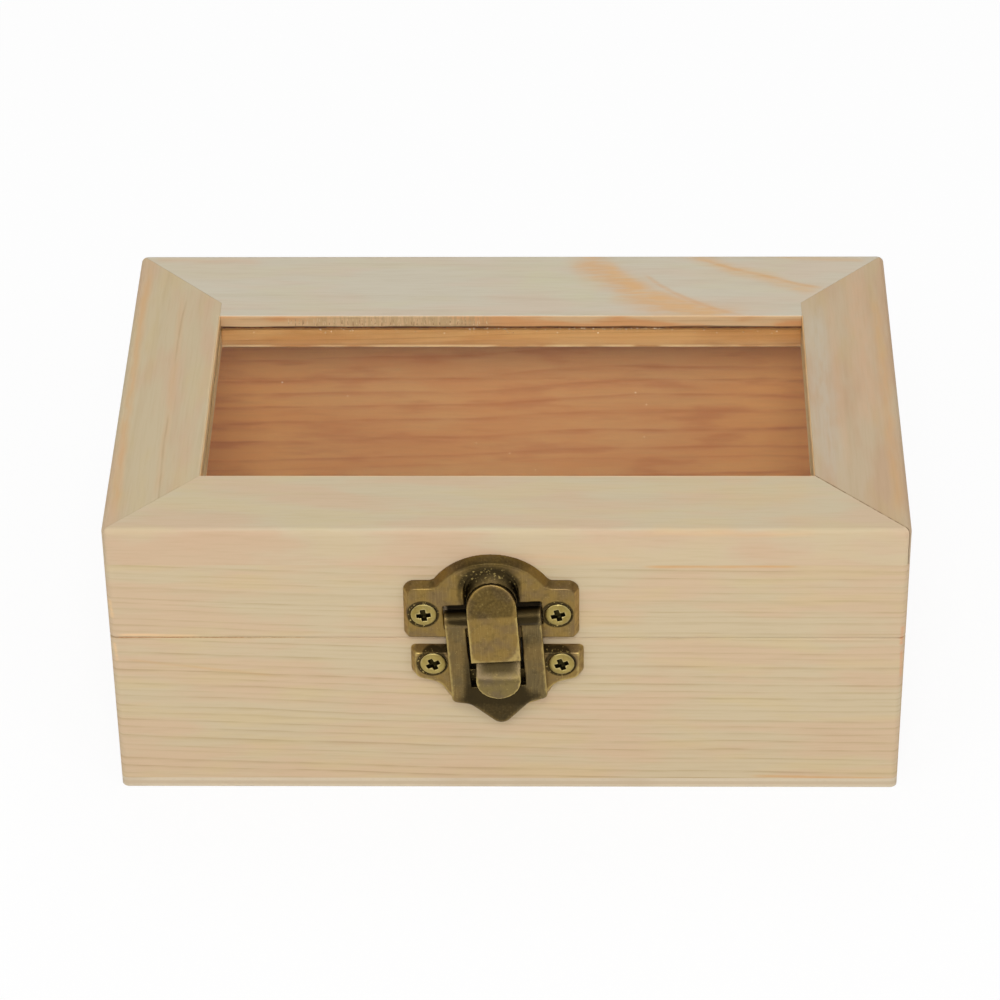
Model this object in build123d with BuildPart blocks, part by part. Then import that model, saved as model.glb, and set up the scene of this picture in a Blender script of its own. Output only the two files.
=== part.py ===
from build123d import *

import os
from math import cos, radians, sin

# Pine display box with a glazed lid, two small hinges at the back and a stamped brass latch at the front.
# The origin is the centre of the underside. +X is to the right as the latch is faced, +Y is to the back.
# Sizes are in millimetres.

os.makedirs("parts", exist_ok=True)

# Box
box_width = 130.0
box_depth = 80.0
base_height = 32.0
lid_height = 22.0
wall_thickness = 7.0
bottom_thickness = 2.0
seam_gap = 0.2
corner_round = 1.2
arris_round = 0.9
seam_ease = 0.2

# Lid frame and its pane
frame_thickness = 7.0
stile_width = 15.0
front_rail_width = 15.0
back_rail_width = 19.0
tight_mitre_gap = 0.06
open_mitre_gap = 0.22
window_ease = 0.25
pane_thickness = 0.6
pane_depth = 2.6
groove_reach = 4.0
groove_play = 0.3
pane_side_play = 0.4

# Latch plates
brass_sheet = 0.6
plate_rise = 1.7
plate_taper = 26.0
plate_edge_round = 0.3
lid_plate_x = -2.5
lid_plate_width = 28.6
lid_plate_foot = 0.7
lid_plate_shoulder = 12.1
lid_plate_apex = 17.3
lid_plate_arch = 18.8
lid_plate_shoulder_round = 2.0
lid_plate_foot_round = 1.1
lid_plate_valley_round = 1.2
base_plate_x = -1.6
base_plate_width = 28.4
base_plate_top = -1.1
base_plate_side_end = -7.4
base_plate_neck_top = -8.7
base_plate_neck_bottom = -12.2
base_plate_tip = -15.3
base_plate_neck_width = 19.6
base_plate_waist_width = 15.6
base_plate_corner_round = 0.95
base_plate_side_round = 2.2
base_plate_neck_round = 2.6
base_plate_waist_round = 2.0
base_plate_tip_round = 5.0

# Latch screws
latch_head_diameter = 4.4
latch_shank_diameter = 2.0
head_dome = 0.4
head_sink = 0.15
recess_span = 2.5
recess_width = 0.7
recess_depth = 0.9
recess_taper = 6.0
seat_clearance = 0.02
pilot_clearance = 0.02
tip_cover = 1.8
lid_screw_spacing = 21.8
lid_screw_shift = -0.05
lid_screw_height = 6.1
base_screw_spacing = 21.0
base_screw_height = -4.1
lid_cross_turns = (8.0, 17.0)
base_cross_turns = (28.0, 20.0)

# Hasp, and the tongue that keeps its knuckle. Reaches are measured from the pivot.
hasp_lean = 3.6
pivot_x = -2.2
pivot_height = 5.65
pivot_rise = 1.8
knuckle_radius = 1.6
hasp_width = 15.7
hasp_window_width = 8.9
hasp_window_reach = 13.25
hasp_sheet = 0.9
hasp_front_rise = 3.25
hasp_shoulder_reach = 16.2
hasp_shoulder_round = 1.0
hasp_dip_reach = 16.8
hasp_dip_width = 9.8
hasp_dip_round = 2.5
hasp_tip_reach = 21.7
hasp_tip_round = 1.8
hasp_edge_round = 0.25
slot_play = 0.25
slot_head_play = 1.1
slot_end_play = 0.12
tongue_width = 8.1
tongue_play = 0.35
tongue_reach = 7.65
tongue_top_reach = 6.9
tongue_top_rise = 2.0
tongue_crease_reach = 1.6
tongue_crease_round = 0.9
tongue_fold_round = 0.45
tongue_root = 1.5
pocket_reach = 9.65
pocket_width = 8.8

# Spring catch, a strip folded over at its top, with its foot behind the base plate
catch_x = -1.4
catch_width = 7.3
catch_top = -2.2
catch_crease = -6.2
catch_bottom = -9.5
catch_gap = 0.25
catch_foot_end = -12.6
catch_crease_round = 2.0
catch_fold_round = 0.45
notch_width = 9.4
notch_bottom = -5.2

# Hinges
hinge_inset = 27.0
hinge_width = 20.0
leaf_height = 8.5
leaf_thickness = 0.7
leaf_corner_round = 1.4
hinge_knuckle_radius = 1.4
notch_play = 0.25
hinge_knuckles = 3
knuckle_gap = 0.1
knuckle_end_play = 0.12
pin_radius = 0.7
running_clearance = 0.04
pin_head_radius = 1.1
pin_head_height = 0.4
hinge_screw_spacing = 12.0
hinge_screw_drop = 5.2
hinge_head_diameter = 2.5
hinge_shank_diameter = 1.3
hinge_head_dome = 0.25
hinge_head_sink = 0.1
hinge_recess_span = 1.5
hinge_recess_width = 0.4
hinge_recess_depth = 0.45
hinge_cross_turns = (15.0, 52.0, 89.0, 126.0)

# Places that follow from the sizes
lid_top = base_height + lid_height
base_wall_top = base_height - seam_gap / 2
lid_wall_bottom = base_height + seam_gap / 2
frame_bottom = lid_top - frame_thickness
pane_bottom = lid_top - pane_depth - pane_thickness
front_y = -box_depth / 2
back_y = box_depth / 2
window_half = box_width / 2 - stile_width
window_front = front_y + front_rail_width
window_back = back_y - back_rail_width
hinge_axis_y = back_y + knuckle_gap + hinge_knuckle_radius
lean_x = (cos(radians(hasp_lean)), 0, sin(radians(hasp_lean)))
pivot_point = (pivot_x, front_y - pivot_rise, base_height + pivot_height)


def front_plane(x):
    """Plane on the front face at the seam: its y runs up the box and its z runs out of it."""
    return Plane(origin=(x, front_y, base_height), x_dir=(1, 0, 0), z_dir=(0, -1, 0))


def hasp_plane(rise):
    """Plane square to the front that leans with the hasp, at a rise from the wood, centred on the pivot."""
    return Plane(origin=(pivot_x, front_y - rise, pivot_point[2]), x_dir=lean_x, z_dir=(0, -1, 0))


def save(piece, name):
    """Labels a finished piece and writes it."""
    piece.part.label = name
    export_step(piece.part, f"parts/{name}.step")


def drill(plane, spots, radius, depth):
    """Bores round holes into the part being built, inwards from a plane."""
    with BuildSketch(plane) as holes:
        with Locations(*spots):
            Circle(radius)
    extrude(holes.sketch, amount=-depth, mode=Mode.SUBTRACT)


# Screw places, each on its own plane
lid_screw_plane = front_plane(lid_plate_x + lid_screw_shift)
base_screw_plane = front_plane(base_plate_x)
lid_screw_spots = [(side * lid_screw_spacing / 2, lid_screw_height) for side in (-1, 1)]
base_screw_spots = [(side * base_screw_spacing / 2, base_screw_height) for side in (-1, 1)]
hinge_centres = [side * (box_width / 2 - hinge_inset) for side in (-1, 1)]
leaf_spots = [(side * hinge_screw_spacing / 2, hinge_screw_drop) for side in (-1, 1)]
hinge_screw_spots = [(centre + x, drop) for centre in hinge_centres for x, drop in leaf_spots]
screw_bite = wall_thickness - tip_cover
latch_pilot_radius = latch_shank_diameter / 2 + pilot_clearance
hinge_pilot_radius = hinge_shank_diameter / 2 + pilot_clearance


def hinge_plane(way, x=0.0):
    """Plane on the back face at the seam, its y running up the lid (way 1) or down the base (way -1)."""
    return Plane(origin=(x, back_y, base_height), x_dir=(-way, 0, 0), z_dir=(0, 1, 0))


# Walls: each ring of four boards is one rounded block, hollowed and then cut into its boards
def wall_ring(bottom, top, eased):
    """The ring of four walls between two heights, its outer arris at the seam eased."""
    with BuildPart() as ring:
        with BuildSketch(Plane.XY.offset(bottom)):
            RectangleRounded(box_width, box_depth, corner_round)
        extrude(amount=top - bottom)
        seam_face = ring.faces().filter_by(Axis.Z).sort_by(Axis.Z)[eased]
        fillet(seam_face.outer_wire().edges(), seam_ease)
        with BuildSketch(Plane.XY.offset(bottom)):
            Rectangle(box_width - 2 * wall_thickness, box_depth - 2 * wall_thickness)
        extrude(amount=top - bottom, mode=Mode.SUBTRACT)
    return ring.part


boards = {
    "front_wall": (0, (wall_thickness - box_depth) / 2, box_width, wall_thickness),
    "back_wall": (0, (box_depth - wall_thickness) / 2, box_width, wall_thickness),
    "left_wall": ((wall_thickness - box_width) / 2, 0, wall_thickness, box_depth - 2 * wall_thickness),
    "right_wall": ((box_width - wall_thickness) / 2, 0, wall_thickness, box_depth - 2 * wall_thickness),
}
rings = {
    "base": (wall_ring(bottom_thickness, base_wall_top, -1), base_screw_plane, base_screw_spots, -1),
    "lid": (wall_ring(lid_wall_bottom, frame_bottom, 0), lid_screw_plane, lid_screw_spots, 1),
}
for ring_name, (ring_part, latch_plane, latch_spots, hinge_way) in rings.items():
    for board_name, (centre_x, centre_y, length, width) in boards.items():
        with BuildPart() as board:
            add(ring_part)
            with BuildSketch():
                with Locations((centre_x, centre_y)):
                    Rectangle(length, width)
            extrude(amount=lid_top, mode=Mode.INTERSECT)
            if board_name == "front_wall":
                drill(latch_plane, latch_spots, latch_pilot_radius, screw_bite)
            if board_name == "back_wall":
                drill(hinge_plane(hinge_way), hinge_screw_spots, hinge_pilot_radius, screw_bite)
        save(board, f"{ring_name}_{board_name}")

with BuildPart() as bottom_panel:
    with BuildSketch():
        RectangleRounded(box_width, box_depth, corner_round)
    extrude(amount=bottom_thickness)
    fillet(bottom_panel.faces().sort_by(Axis.Z)[0].edges(), seam_ease)
save(bottom_panel, "bottom_panel")


# Lid frame: a grooved and rounded slab with a window, sawn along its mitres into two rails and two stiles
def mitre(side, way, rail_width):
    """The joint line from an outer corner: at 45 degrees, then straight on to the window's corner."""
    run = min(stile_width, rail_width)
    outer = (side * box_width / 2, way * box_depth / 2)
    knee = (outer[0] - side * run, outer[1] - way * run)
    inner = (side * window_half, way * (box_depth / 2 - rail_width))
    return [outer, inner] if rail_width == stile_width else [outer, knee, inner]


mitres = {(side, way): mitre(side, way, back_rail_width if way > 0 else front_rail_width)
          for side in (-1, 1) for way in (-1, 1)}

with BuildPart() as frame_slab:
    with BuildSketch(Plane.XY.offset(frame_bottom)):
        RectangleRounded(box_width, box_depth, corner_round)
    extrude(amount=frame_thickness)
    fillet(frame_slab.faces().sort_by(Axis.Z)[-1].edges(), arris_round)
    with BuildSketch(Plane.XY.offset(frame_bottom)):
        with Locations((0, (window_front + window_back) / 2)):
            Rectangle(2 * window_half, window_back - window_front)
    extrude(amount=frame_thickness, mode=Mode.SUBTRACT)
    window_rims = frame_slab.faces().filter_by(Axis.Z).group_by(Axis.Z)
    for rim in (window_rims[0][0], window_rims[-1][0]):
        chamfer(rim.inner_wires()[0].edges(), window_ease)
    with BuildSketch(Plane.XY.offset(pane_bottom)):
        with Locations((0, (window_front + window_back) / 2)):
            Rectangle(2 * (window_half + groove_reach), window_back - window_front + 2 * groove_reach)
    extrude(amount=pane_thickness + groove_play, mode=Mode.SUBTRACT)
    with BuildSketch(Plane.XY.offset(frame_bottom)):
        for corner, joint in mitres.items():
            with BuildLine() as kerf:
                Polyline(*joint)
            trace(kerf.line, line_width=open_mitre_gap if corner == (1, -1) else tight_mitre_gap)
    extrude(amount=frame_thickness, mode=Mode.SUBTRACT)

frame_outlines = {
    "frame_front_rail": mitres[-1, -1] + mitres[1, -1][::-1],
    "frame_back_rail": mitres[-1, 1] + mitres[1, 1][::-1],
    "frame_left_stile": mitres[-1, -1] + mitres[-1, 1][::-1],
    "frame_right_stile": mitres[1, -1] + mitres[1, 1][::-1],
}
for frame_name, outline in frame_outlines.items():
    with BuildPart() as frame_piece:
        add(frame_slab.part)
        with BuildSketch(Plane.XY.offset(frame_bottom)):
            with BuildLine():
                Polyline(*outline, close=True)
            make_face()
        extrude(amount=frame_thickness, mode=Mode.INTERSECT)
    save(frame_piece, frame_name)

with BuildPart() as window_pane:
    pane_reach = groove_reach - pane_side_play
    with BuildSketch(Plane.XY.offset(pane_bottom)):
        with Locations((0, (window_front + window_back) / 2)):
            Rectangle(2 * (window_half + pane_reach), window_back - window_front + 2 * pane_reach)
    extrude(amount=pane_thickness)
save(window_pane, "window_pane")


# Screws: a raised countersunk head with a cross recess, on a plain shank with a point
def turn_screws(plane, spots, turns, rim_rise, head_diameter, shank_diameter, dome, cross):
    """Screws for one plate, as one group, with the rim of each head at rim_rise from the plane."""
    cross_span, cross_width, cross_depth = cross
    head_radius = head_diameter / 2 - seat_clearance
    shank_radius = shank_diameter / 2
    cone_end = rim_rise - (head_radius - shank_radius)
    for spot, turn in zip(spots, turns):
        axis_plane = Plane(origin=plane.from_local_coords((*spot, 0)), x_dir=plane.x_dir, z_dir=-plane.y_dir)
        with BuildSketch(axis_plane) as half_profile:
            with BuildLine():
                Polyline((head_radius, rim_rise), (shank_radius, cone_end),
                         (shank_radius, shank_radius - screw_bite), (0, pilot_clearance - screw_bite),
                         (0, rim_rise + dome))
                TangentArc((0, rim_rise + dome), (head_radius, rim_rise), tangent=(1, 0))
            make_face()
        turning = Axis(plane.from_local_coords((*spot, 0)), plane.z_dir)
        revolve(half_profile.sketch, axis=turning)
        with BuildSketch(plane.offset(rim_rise + 2 * dome)) as recess:
            with Locations(Location((*spot, 0), turn)):
                Rectangle(cross_span, cross_width)
                Rectangle(cross_width, cross_span)
        extrude(recess.sketch, amount=-cross_depth - dome, taper=recess_taper, mode=Mode.SUBTRACT)


latch_cross = (recess_span, recess_width, recess_depth)
latch_rim_rise = plate_rise - head_sink + seat_clearance
latch_screws = {
    "latch_lid_screws": (lid_screw_plane, lid_screw_spots, lid_cross_turns),
    "latch_base_screws": (base_screw_plane, base_screw_spots, base_cross_turns),
}
for screws_name, (screw_plane, spots, turns) in latch_screws.items():
    with BuildPart() as screws:
        turn_screws(screw_plane, spots, turns, latch_rim_rise, latch_head_diameter, latch_shank_diameter,
                    head_dome, latch_cross)
    save(screws, screws_name)


def countersink(plane, spots, mouth_radius, pilot_radius, face_rise):
    """Drills a plate for its screws and countersinks its face, which lies at face_rise from the plane."""
    face_plane = plane.offset(face_rise)
    drill(face_plane, spots, pilot_radius, face_rise)
    with BuildSketch(face_plane) as mouths:
        with Locations(*spots):
            Circle(mouth_radius)
    extrude(mouths.sketch, amount=pilot_radius - mouth_radius, taper=45, mode=Mode.SUBTRACT)


# Latch plates: pressed dishes whose rims turn down to the wood
latch_mouth_radius = latch_head_diameter / 2 + head_sink


def press_dish(outline, plane):
    """Presses an outline into a hollow dish in the part being built, with an eased front edge."""
    extrude(outline.sketch, amount=plate_rise, taper=plate_taper)
    fillet(faces().sort_by(Axis.Y)[0].edges(), plate_edge_round)
    with BuildSketch(plane) as hollow:
        add(outline.sketch_local)
        offset(amount=-brass_sheet)
    extrude(hollow.sketch, amount=plate_rise - brass_sheet, taper=plate_taper, mode=Mode.SUBTRACT)


with BuildSketch(front_plane(lid_plate_x)) as lid_plate_outline:
    half = lid_plate_width / 2
    arch = lid_plate_arch / 2
    with BuildLine():
        Polyline((-arch, lid_plate_shoulder), (-half, lid_plate_shoulder), (-half, lid_plate_foot),
                 (half, lid_plate_foot), (half, lid_plate_shoulder), (arch, lid_plate_shoulder))
        ThreePointArc((-arch, lid_plate_shoulder), (0, lid_plate_apex), (arch, lid_plate_shoulder))
    make_face()
    fillet(lid_plate_outline.vertices().group_by(Axis.Y)[0], lid_plate_foot_round)
    fillet(lid_plate_outline.vertices().group_by(Axis.Y)[-1].sort_by(Axis.X)[0::3], lid_plate_shoulder_round)
    fillet(lid_plate_outline.vertices().group_by(Axis.Y)[-1].sort_by(Axis.X)[1:3], lid_plate_valley_round)

with BuildSketch(front_plane(base_plate_x)) as base_plate_outline:
    half = base_plate_width / 2
    neck = base_plate_neck_width / 2
    waist = base_plate_waist_width / 2
    right_side = [(half, base_plate_top), (half, base_plate_side_end), (neck, base_plate_neck_top),
                  (waist, base_plate_neck_bottom)]
    left_side = [(-x, y) for x, y in reversed(right_side)]
    corner_rounds = [base_plate_corner_round, base_plate_side_round,
                     base_plate_neck_round, base_plate_waist_round]
    with BuildLine():
        FilletPolyline(*right_side, (0, base_plate_tip), *left_side, close=True,
                       radius=[*corner_rounds, base_plate_tip_round, *reversed(corner_rounds)])
    make_face()

# Tongue: a strip folded forward from the lid plate's foot, then up over the knuckle towards the pocket
tongue_mid_rise = pivot_rise + knuckle_radius + tongue_play + brass_sheet / 2
tongue_side = Plane(origin=hasp_plane(0).origin, x_dir=(0, -1, 0), z_dir=-Vector(*lean_x))
with BuildPart() as tongue:
    with BuildSketch(tongue_side) as tongue_profile:
        root_rise = plate_rise - brass_sheet / 2
        shelf = brass_sheet / 2 - tongue_reach
        with BuildLine() as tongue_line:
            FilletPolyline((root_rise, lid_plate_foot + tongue_root - pivot_height), (root_rise, shelf),
                           (tongue_mid_rise, shelf), (tongue_mid_rise, tongue_crease_reach),
                           (tongue_top_rise - brass_sheet / 2, tongue_top_reach),
                           radius=[tongue_fold_round, tongue_fold_round, tongue_crease_round])
        trace(tongue_line.line, line_width=brass_sheet)
    extrude(amount=tongue_width / 2, both=True)
    with BuildSketch(hasp_plane(0)):
        with Locations((0, tongue_top_reach - tongue_width / 2)):
            Circle(tongue_width / 2)
        with Locations((0, tongue_top_reach - tongue_width / 2)):
            Rectangle(tongue_width, 2 * tongue_reach + tongue_width, align=(Align.CENTER, Align.MAX))
    extrude(amount=2 * tongue_mid_rise, mode=Mode.INTERSECT)


def pocket_outline(rise, wall):
    """Outline of the round-topped pocket pressed into the lid plate, at a rise from the wood."""
    with BuildSketch(hasp_plane(rise)) as outline:
        with Locations((0, pocket_reach - pocket_width / 2)):
            Circle(pocket_width / 2 + wall)
            Rectangle(pocket_width + 2 * wall, pocket_reach - pocket_width / 2,
                      align=(Align.CENTER, Align.MAX))
    return outline.sketch


with BuildPart() as latch_lid_plate:
    press_dish(lid_plate_outline, front_plane(lid_plate_x))
    countersink(lid_screw_plane, lid_screw_spots, latch_mouth_radius, latch_pilot_radius, plate_rise)
    extrude(pocket_outline(0, brass_sheet), amount=plate_rise - brass_sheet)
    extrude(pocket_outline(brass_sheet, 0), amount=plate_rise, mode=Mode.SUBTRACT)
    with BuildSketch(hasp_plane(0)) as slot:
        with Locations((0, -knuckle_radius - slot_play)):
            Rectangle(hasp_width + 2 * slot_end_play, 2 * knuckle_radius + slot_play + slot_head_play,
                      align=(Align.CENTER, Align.MIN))
    extrude(slot.sketch, amount=plate_rise, mode=Mode.SUBTRACT)
    add(tongue.part)
save(latch_lid_plate, "latch_lid_plate")

with BuildPart() as latch_base_plate:
    press_dish(base_plate_outline, front_plane(base_plate_x))
    countersink(base_screw_plane, base_screw_spots, latch_mouth_radius, latch_pilot_radius, plate_rise)
    with BuildSketch(front_plane(base_plate_x)):
        with Locations((0, base_plate_top)):
            Rectangle(notch_width, base_plate_top - notch_bottom, align=(Align.CENTER, Align.MAX))
    extrude(amount=plate_rise, mode=Mode.SUBTRACT)
save(latch_base_plate, "latch_base_plate")

# Hasp: a round knuckle across its top and a flat ring that ends in a finger tip
with BuildPart() as latch_hasp:
    with BuildSketch(hasp_plane(hasp_front_rise - hasp_sheet)):
        half = hasp_width / 2
        dip = hasp_dip_width / 2
        with BuildLine():
            FilletPolyline((half, 0), (half, -hasp_shoulder_reach), (dip, -hasp_dip_reach),
                           (0, -hasp_tip_reach), (-dip, -hasp_dip_reach), (-half, -hasp_shoulder_reach),
                           (-half, 0), close=True,
                           radius=[0, hasp_shoulder_round, hasp_dip_round, hasp_tip_round, hasp_dip_round,
                                   hasp_shoulder_round, 0])
        make_face()
    extrude(amount=hasp_sheet)
    with BuildSketch(hasp_plane(0)):
        Rectangle(hasp_window_width, hasp_window_reach, align=(Align.CENTER, Align.MAX))
    extrude(amount=2 * hasp_front_rise, mode=Mode.SUBTRACT)
    front_edges = faces().sort_by(Axis.Y)[0].edges()
    free_edges = front_edges.filter_by(lambda edge: edge.center().Z < pivot_point[2] - knuckle_radius / 2)
    fillet(free_edges, hasp_edge_round)
    with BuildSketch(Plane(origin=pivot_point, z_dir=lean_x)):
        Circle(knuckle_radius)
    extrude(amount=half, both=True)
save(latch_hasp, "latch_hasp")

# Catch: its foot lies against the back of the base plate, and its nose hangs in front of the hasp's web
catch_side = Plane(origin=front_plane(catch_x).origin, x_dir=(0, -1, 0), z_dir=(-1, 0, 0))
catch_mid_rise = hasp_front_rise + catch_gap + brass_sheet / 2
with BuildPart() as latch_catch:
    with BuildSketch(catch_side):
        foot_rise = plate_rise - 1.5 * brass_sheet
        with BuildLine() as catch_line:
            FilletPolyline((foot_rise, catch_foot_end), (foot_rise, catch_top),
                           (catch_mid_rise, catch_crease), (catch_mid_rise, catch_bottom),
                           radius=[catch_fold_round, catch_crease_round])
        trace(catch_line.line, line_width=brass_sheet)
    extrude(amount=catch_width / 2, both=True)
    with BuildSketch(front_plane(catch_x).offset(plate_rise)):
        Rectangle(2 * catch_width, 4 * catch_width)
        with Locations((0, catch_bottom + catch_width / 2)):
            Circle(catch_width / 2, mode=Mode.SUBTRACT)
            Rectangle(catch_width, 4 * catch_width, align=(Align.CENTER, Align.MIN), mode=Mode.SUBTRACT)
    extrude(amount=2 * catch_mid_rise, mode=Mode.SUBTRACT)
save(latch_catch, "latch_catch")


# Hinges: each leaf is a plate with rolled knuckles, notched where the other leaf's knuckles turn
hinge_mouth_radius = hinge_head_diameter / 2 + hinge_head_sink


def hinge_leaf(centre_x, way):
    """One leaf on the back face. The base's (way -1) has the outer knuckles, the lid's those between."""
    knuckle_length = hinge_width / hinge_knuckles
    own_knuckles = range(0 if way < 0 else 1, hinge_knuckles, 2)
    plane = hinge_plane(way, centre_x)
    with BuildPart() as leaf:
        with BuildSketch(plane):
            Rectangle(hinge_width, leaf_height, align=(Align.CENTER, Align.MIN))
            fillet(vertices().group_by(Axis.Y)[-1], leaf_corner_round)
        extrude(amount=leaf_thickness)
        countersink(plane, leaf_spots, hinge_mouth_radius, hinge_pilot_radius, leaf_thickness)
        with BuildSketch(plane) as notches:
            Rectangle(hinge_width, 2 * (hinge_knuckle_radius + notch_play))
        extrude(notches.sketch, amount=leaf_thickness, mode=Mode.SUBTRACT)
        for index in own_knuckles:
            start_x = centre_x - hinge_width / 2 + index * knuckle_length + knuckle_end_play / 2
            barrel_start = (start_x, hinge_axis_y, base_height)
            with BuildSketch(Plane(origin=barrel_start, x_dir=(0, 1, 0), z_dir=(1, 0, 0))) as barrel:
                Circle(hinge_knuckle_radius)
                with Locations((-hinge_knuckle_radius - knuckle_gap, 0)):
                    Rectangle(leaf_thickness, hinge_knuckle_radius + 2 * notch_play,
                              align=(Align.MIN, Align.MIN if way > 0 else Align.MAX))
                Circle(pin_radius + running_clearance, mode=Mode.SUBTRACT)
            extrude(barrel.sketch, amount=knuckle_length - knuckle_end_play)
    return leaf


for side_name, centre_x in zip(("left", "right"), hinge_centres):
    for leaf_name, way in (("base", -1), ("lid", 1)):
        save(hinge_leaf(centre_x, way), f"hinge_{side_name}_{leaf_name}_leaf")
    with BuildPart() as hinge_pin:
        pin_plane = Plane(origin=(centre_x, hinge_axis_y, base_height), z_dir=(1, 0, 0))
        with BuildSketch(pin_plane):
            Circle(pin_radius)
        extrude(amount=hinge_width / 2, both=True)
        for outward in (-1, 1):
            with BuildSketch(pin_plane.offset(outward * hinge_width / 2)) as head:
                Circle(pin_head_radius)
            extrude(head.sketch, amount=outward * pin_head_height)
    save(hinge_pin, f"hinge_{side_name}_pin")

hinge_cross = (hinge_recess_span, hinge_recess_width, hinge_recess_depth)
hinge_rim_rise = leaf_thickness - hinge_head_sink + seat_clearance
for leaf_name, way in (("base", -1), ("lid", 1)):
    with BuildPart() as screws:
        turn_screws(hinge_plane(way), hinge_screw_spots, hinge_cross_turns, hinge_rim_rise,
                    hinge_head_diameter, hinge_shank_diameter, hinge_head_dome, hinge_cross)
    save(screws, f"hinge_{leaf_name}_screws")
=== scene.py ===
"""Looks of the wooden display box: bare pine, a clear pane, and an antique brass latch and hinges."""
from __future__ import annotations

import logging
import math
from dataclasses import dataclass, field
from enum import Enum
from typing import Any

import bmesh
import bpy
import numpy as np
from mathutils import Euler, Matrix, Vector


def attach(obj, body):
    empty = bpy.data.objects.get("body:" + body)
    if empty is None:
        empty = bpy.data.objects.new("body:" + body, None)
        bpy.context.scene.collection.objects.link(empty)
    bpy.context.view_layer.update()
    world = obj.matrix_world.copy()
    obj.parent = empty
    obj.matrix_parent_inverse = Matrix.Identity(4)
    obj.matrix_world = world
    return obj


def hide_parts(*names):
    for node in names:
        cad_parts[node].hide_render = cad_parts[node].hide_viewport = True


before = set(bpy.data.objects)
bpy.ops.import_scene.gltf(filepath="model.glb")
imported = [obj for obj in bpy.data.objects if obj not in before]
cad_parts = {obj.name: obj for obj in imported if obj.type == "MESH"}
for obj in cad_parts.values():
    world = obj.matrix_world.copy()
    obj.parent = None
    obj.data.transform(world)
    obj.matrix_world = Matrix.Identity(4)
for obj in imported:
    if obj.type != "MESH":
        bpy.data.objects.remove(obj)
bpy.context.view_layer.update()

log = logging.getLogger("display_box")

Socket = bpy.types.NodeSocket
Colour = tuple[float, float, float, float]
Pair = tuple[float, float]
Point = tuple[float, float, float]
X, Y, Z = range(3)
MM = 0.001
TO_METRES = Matrix.Scale(MM, 4)
# Point attribute of the brass: edge wear and hollows, with painted light and shade laid over them
EDGE_AND_SHADE_MARK = "edge"
WHITE = (1.0, 1.0, 1.0, 1.0)
ORIGIN = (0.0, 0.0, 0.0)


def values_of(items: Any, attribute: str, columns: int, kind: type = float) -> np.ndarray:
    """Reads one attribute of all points or edges of a mesh.

    Args:
        items: the points, the edges or the values of an attribute.
        attribute: the name of what is read.
        columns: how many numbers each item has.
        kind: the type of the numbers.

    Returns:
        The numbers, with a row for each item.
    """
    values = np.zeros(len(items) * columns, kind)
    items.foreach_get(attribute, values)
    return values.reshape(-1, columns)


def reach(node: str, axis: int) -> Pair:
    """Lowest and highest place of a node of the frame along an axis, in millimetres."""
    places = values_of(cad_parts[node].data.vertices, "co", 3)[:, axis] / MM
    return round(float(places.min()), 3), round(float(places.max()), 3)


# Places of the frame that several classes share, in millimetres
BOX_HALF = reach("bottom_panel", X)[1]
FRONT_Y, FRONT_INSIDE_Y = reach("base_front_wall", Y)
BACK_INSIDE_Y, BACK_Y = reach("base_back_wall", Y)
WALL = BACK_Y - BACK_INSIDE_Y
SEAM_Z = (reach("base_front_wall", Z)[1] + reach("lid_front_wall", Z)[0]) / 2
LID_TOP_Z = reach("frame_front_rail", Z)[1]
WINDOW_HALF = reach("frame_right_stile", X)[0]
WINDOW_FRONT_Y = reach("frame_front_rail", Y)[1]
WINDOW_BACK_Y = reach("frame_back_rail", Y)[0]
GROOVE_FLOOR_Z, PANE_TOP_Z = reach("window_pane", Z)
PANE_PLAY = 0.3
GROOVE_TOP_Z = PANE_TOP_Z + PANE_PLAY
PLATE_RISE = round(FRONT_Y - reach("latch_base_plate", Y)[0], 3)


def shade(red: int, green: int, blue: int) -> Colour:
    """Linear colour of one written as it looks on a screen.

    Args:
        red: the red channel, from 0 to 255.
        green: the green channel.
        blue: the blue channel.

    Returns:
        The colour, with full cover.
    """
    def linear(channel: int) -> float:
        """Linear value of one channel."""
        value = channel / 255
        return value / 12.92 if value <= 0.04045 else ((value + 0.055) / 1.055) ** 2.4

    return linear(red), linear(green), linear(blue), 1.0


class GrainAxis(Enum):
    """Which way a board's grain runs."""

    ALONG_X = X
    ALONG_Y = Y

    @property
    def fibre_lengths(self) -> Point:
        """Lengths of a fibre's marks along the three axes, in millimetres."""
        return (5.0, 0.9, 0.6) if self is GrainAxis.ALONG_X else (0.9, 5.0, 0.6)


class Body(Enum):
    """The bodies of the frame that the pieces ride on."""

    BASE = "base"
    LID = "lid"
    HASP = "hasp"


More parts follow.
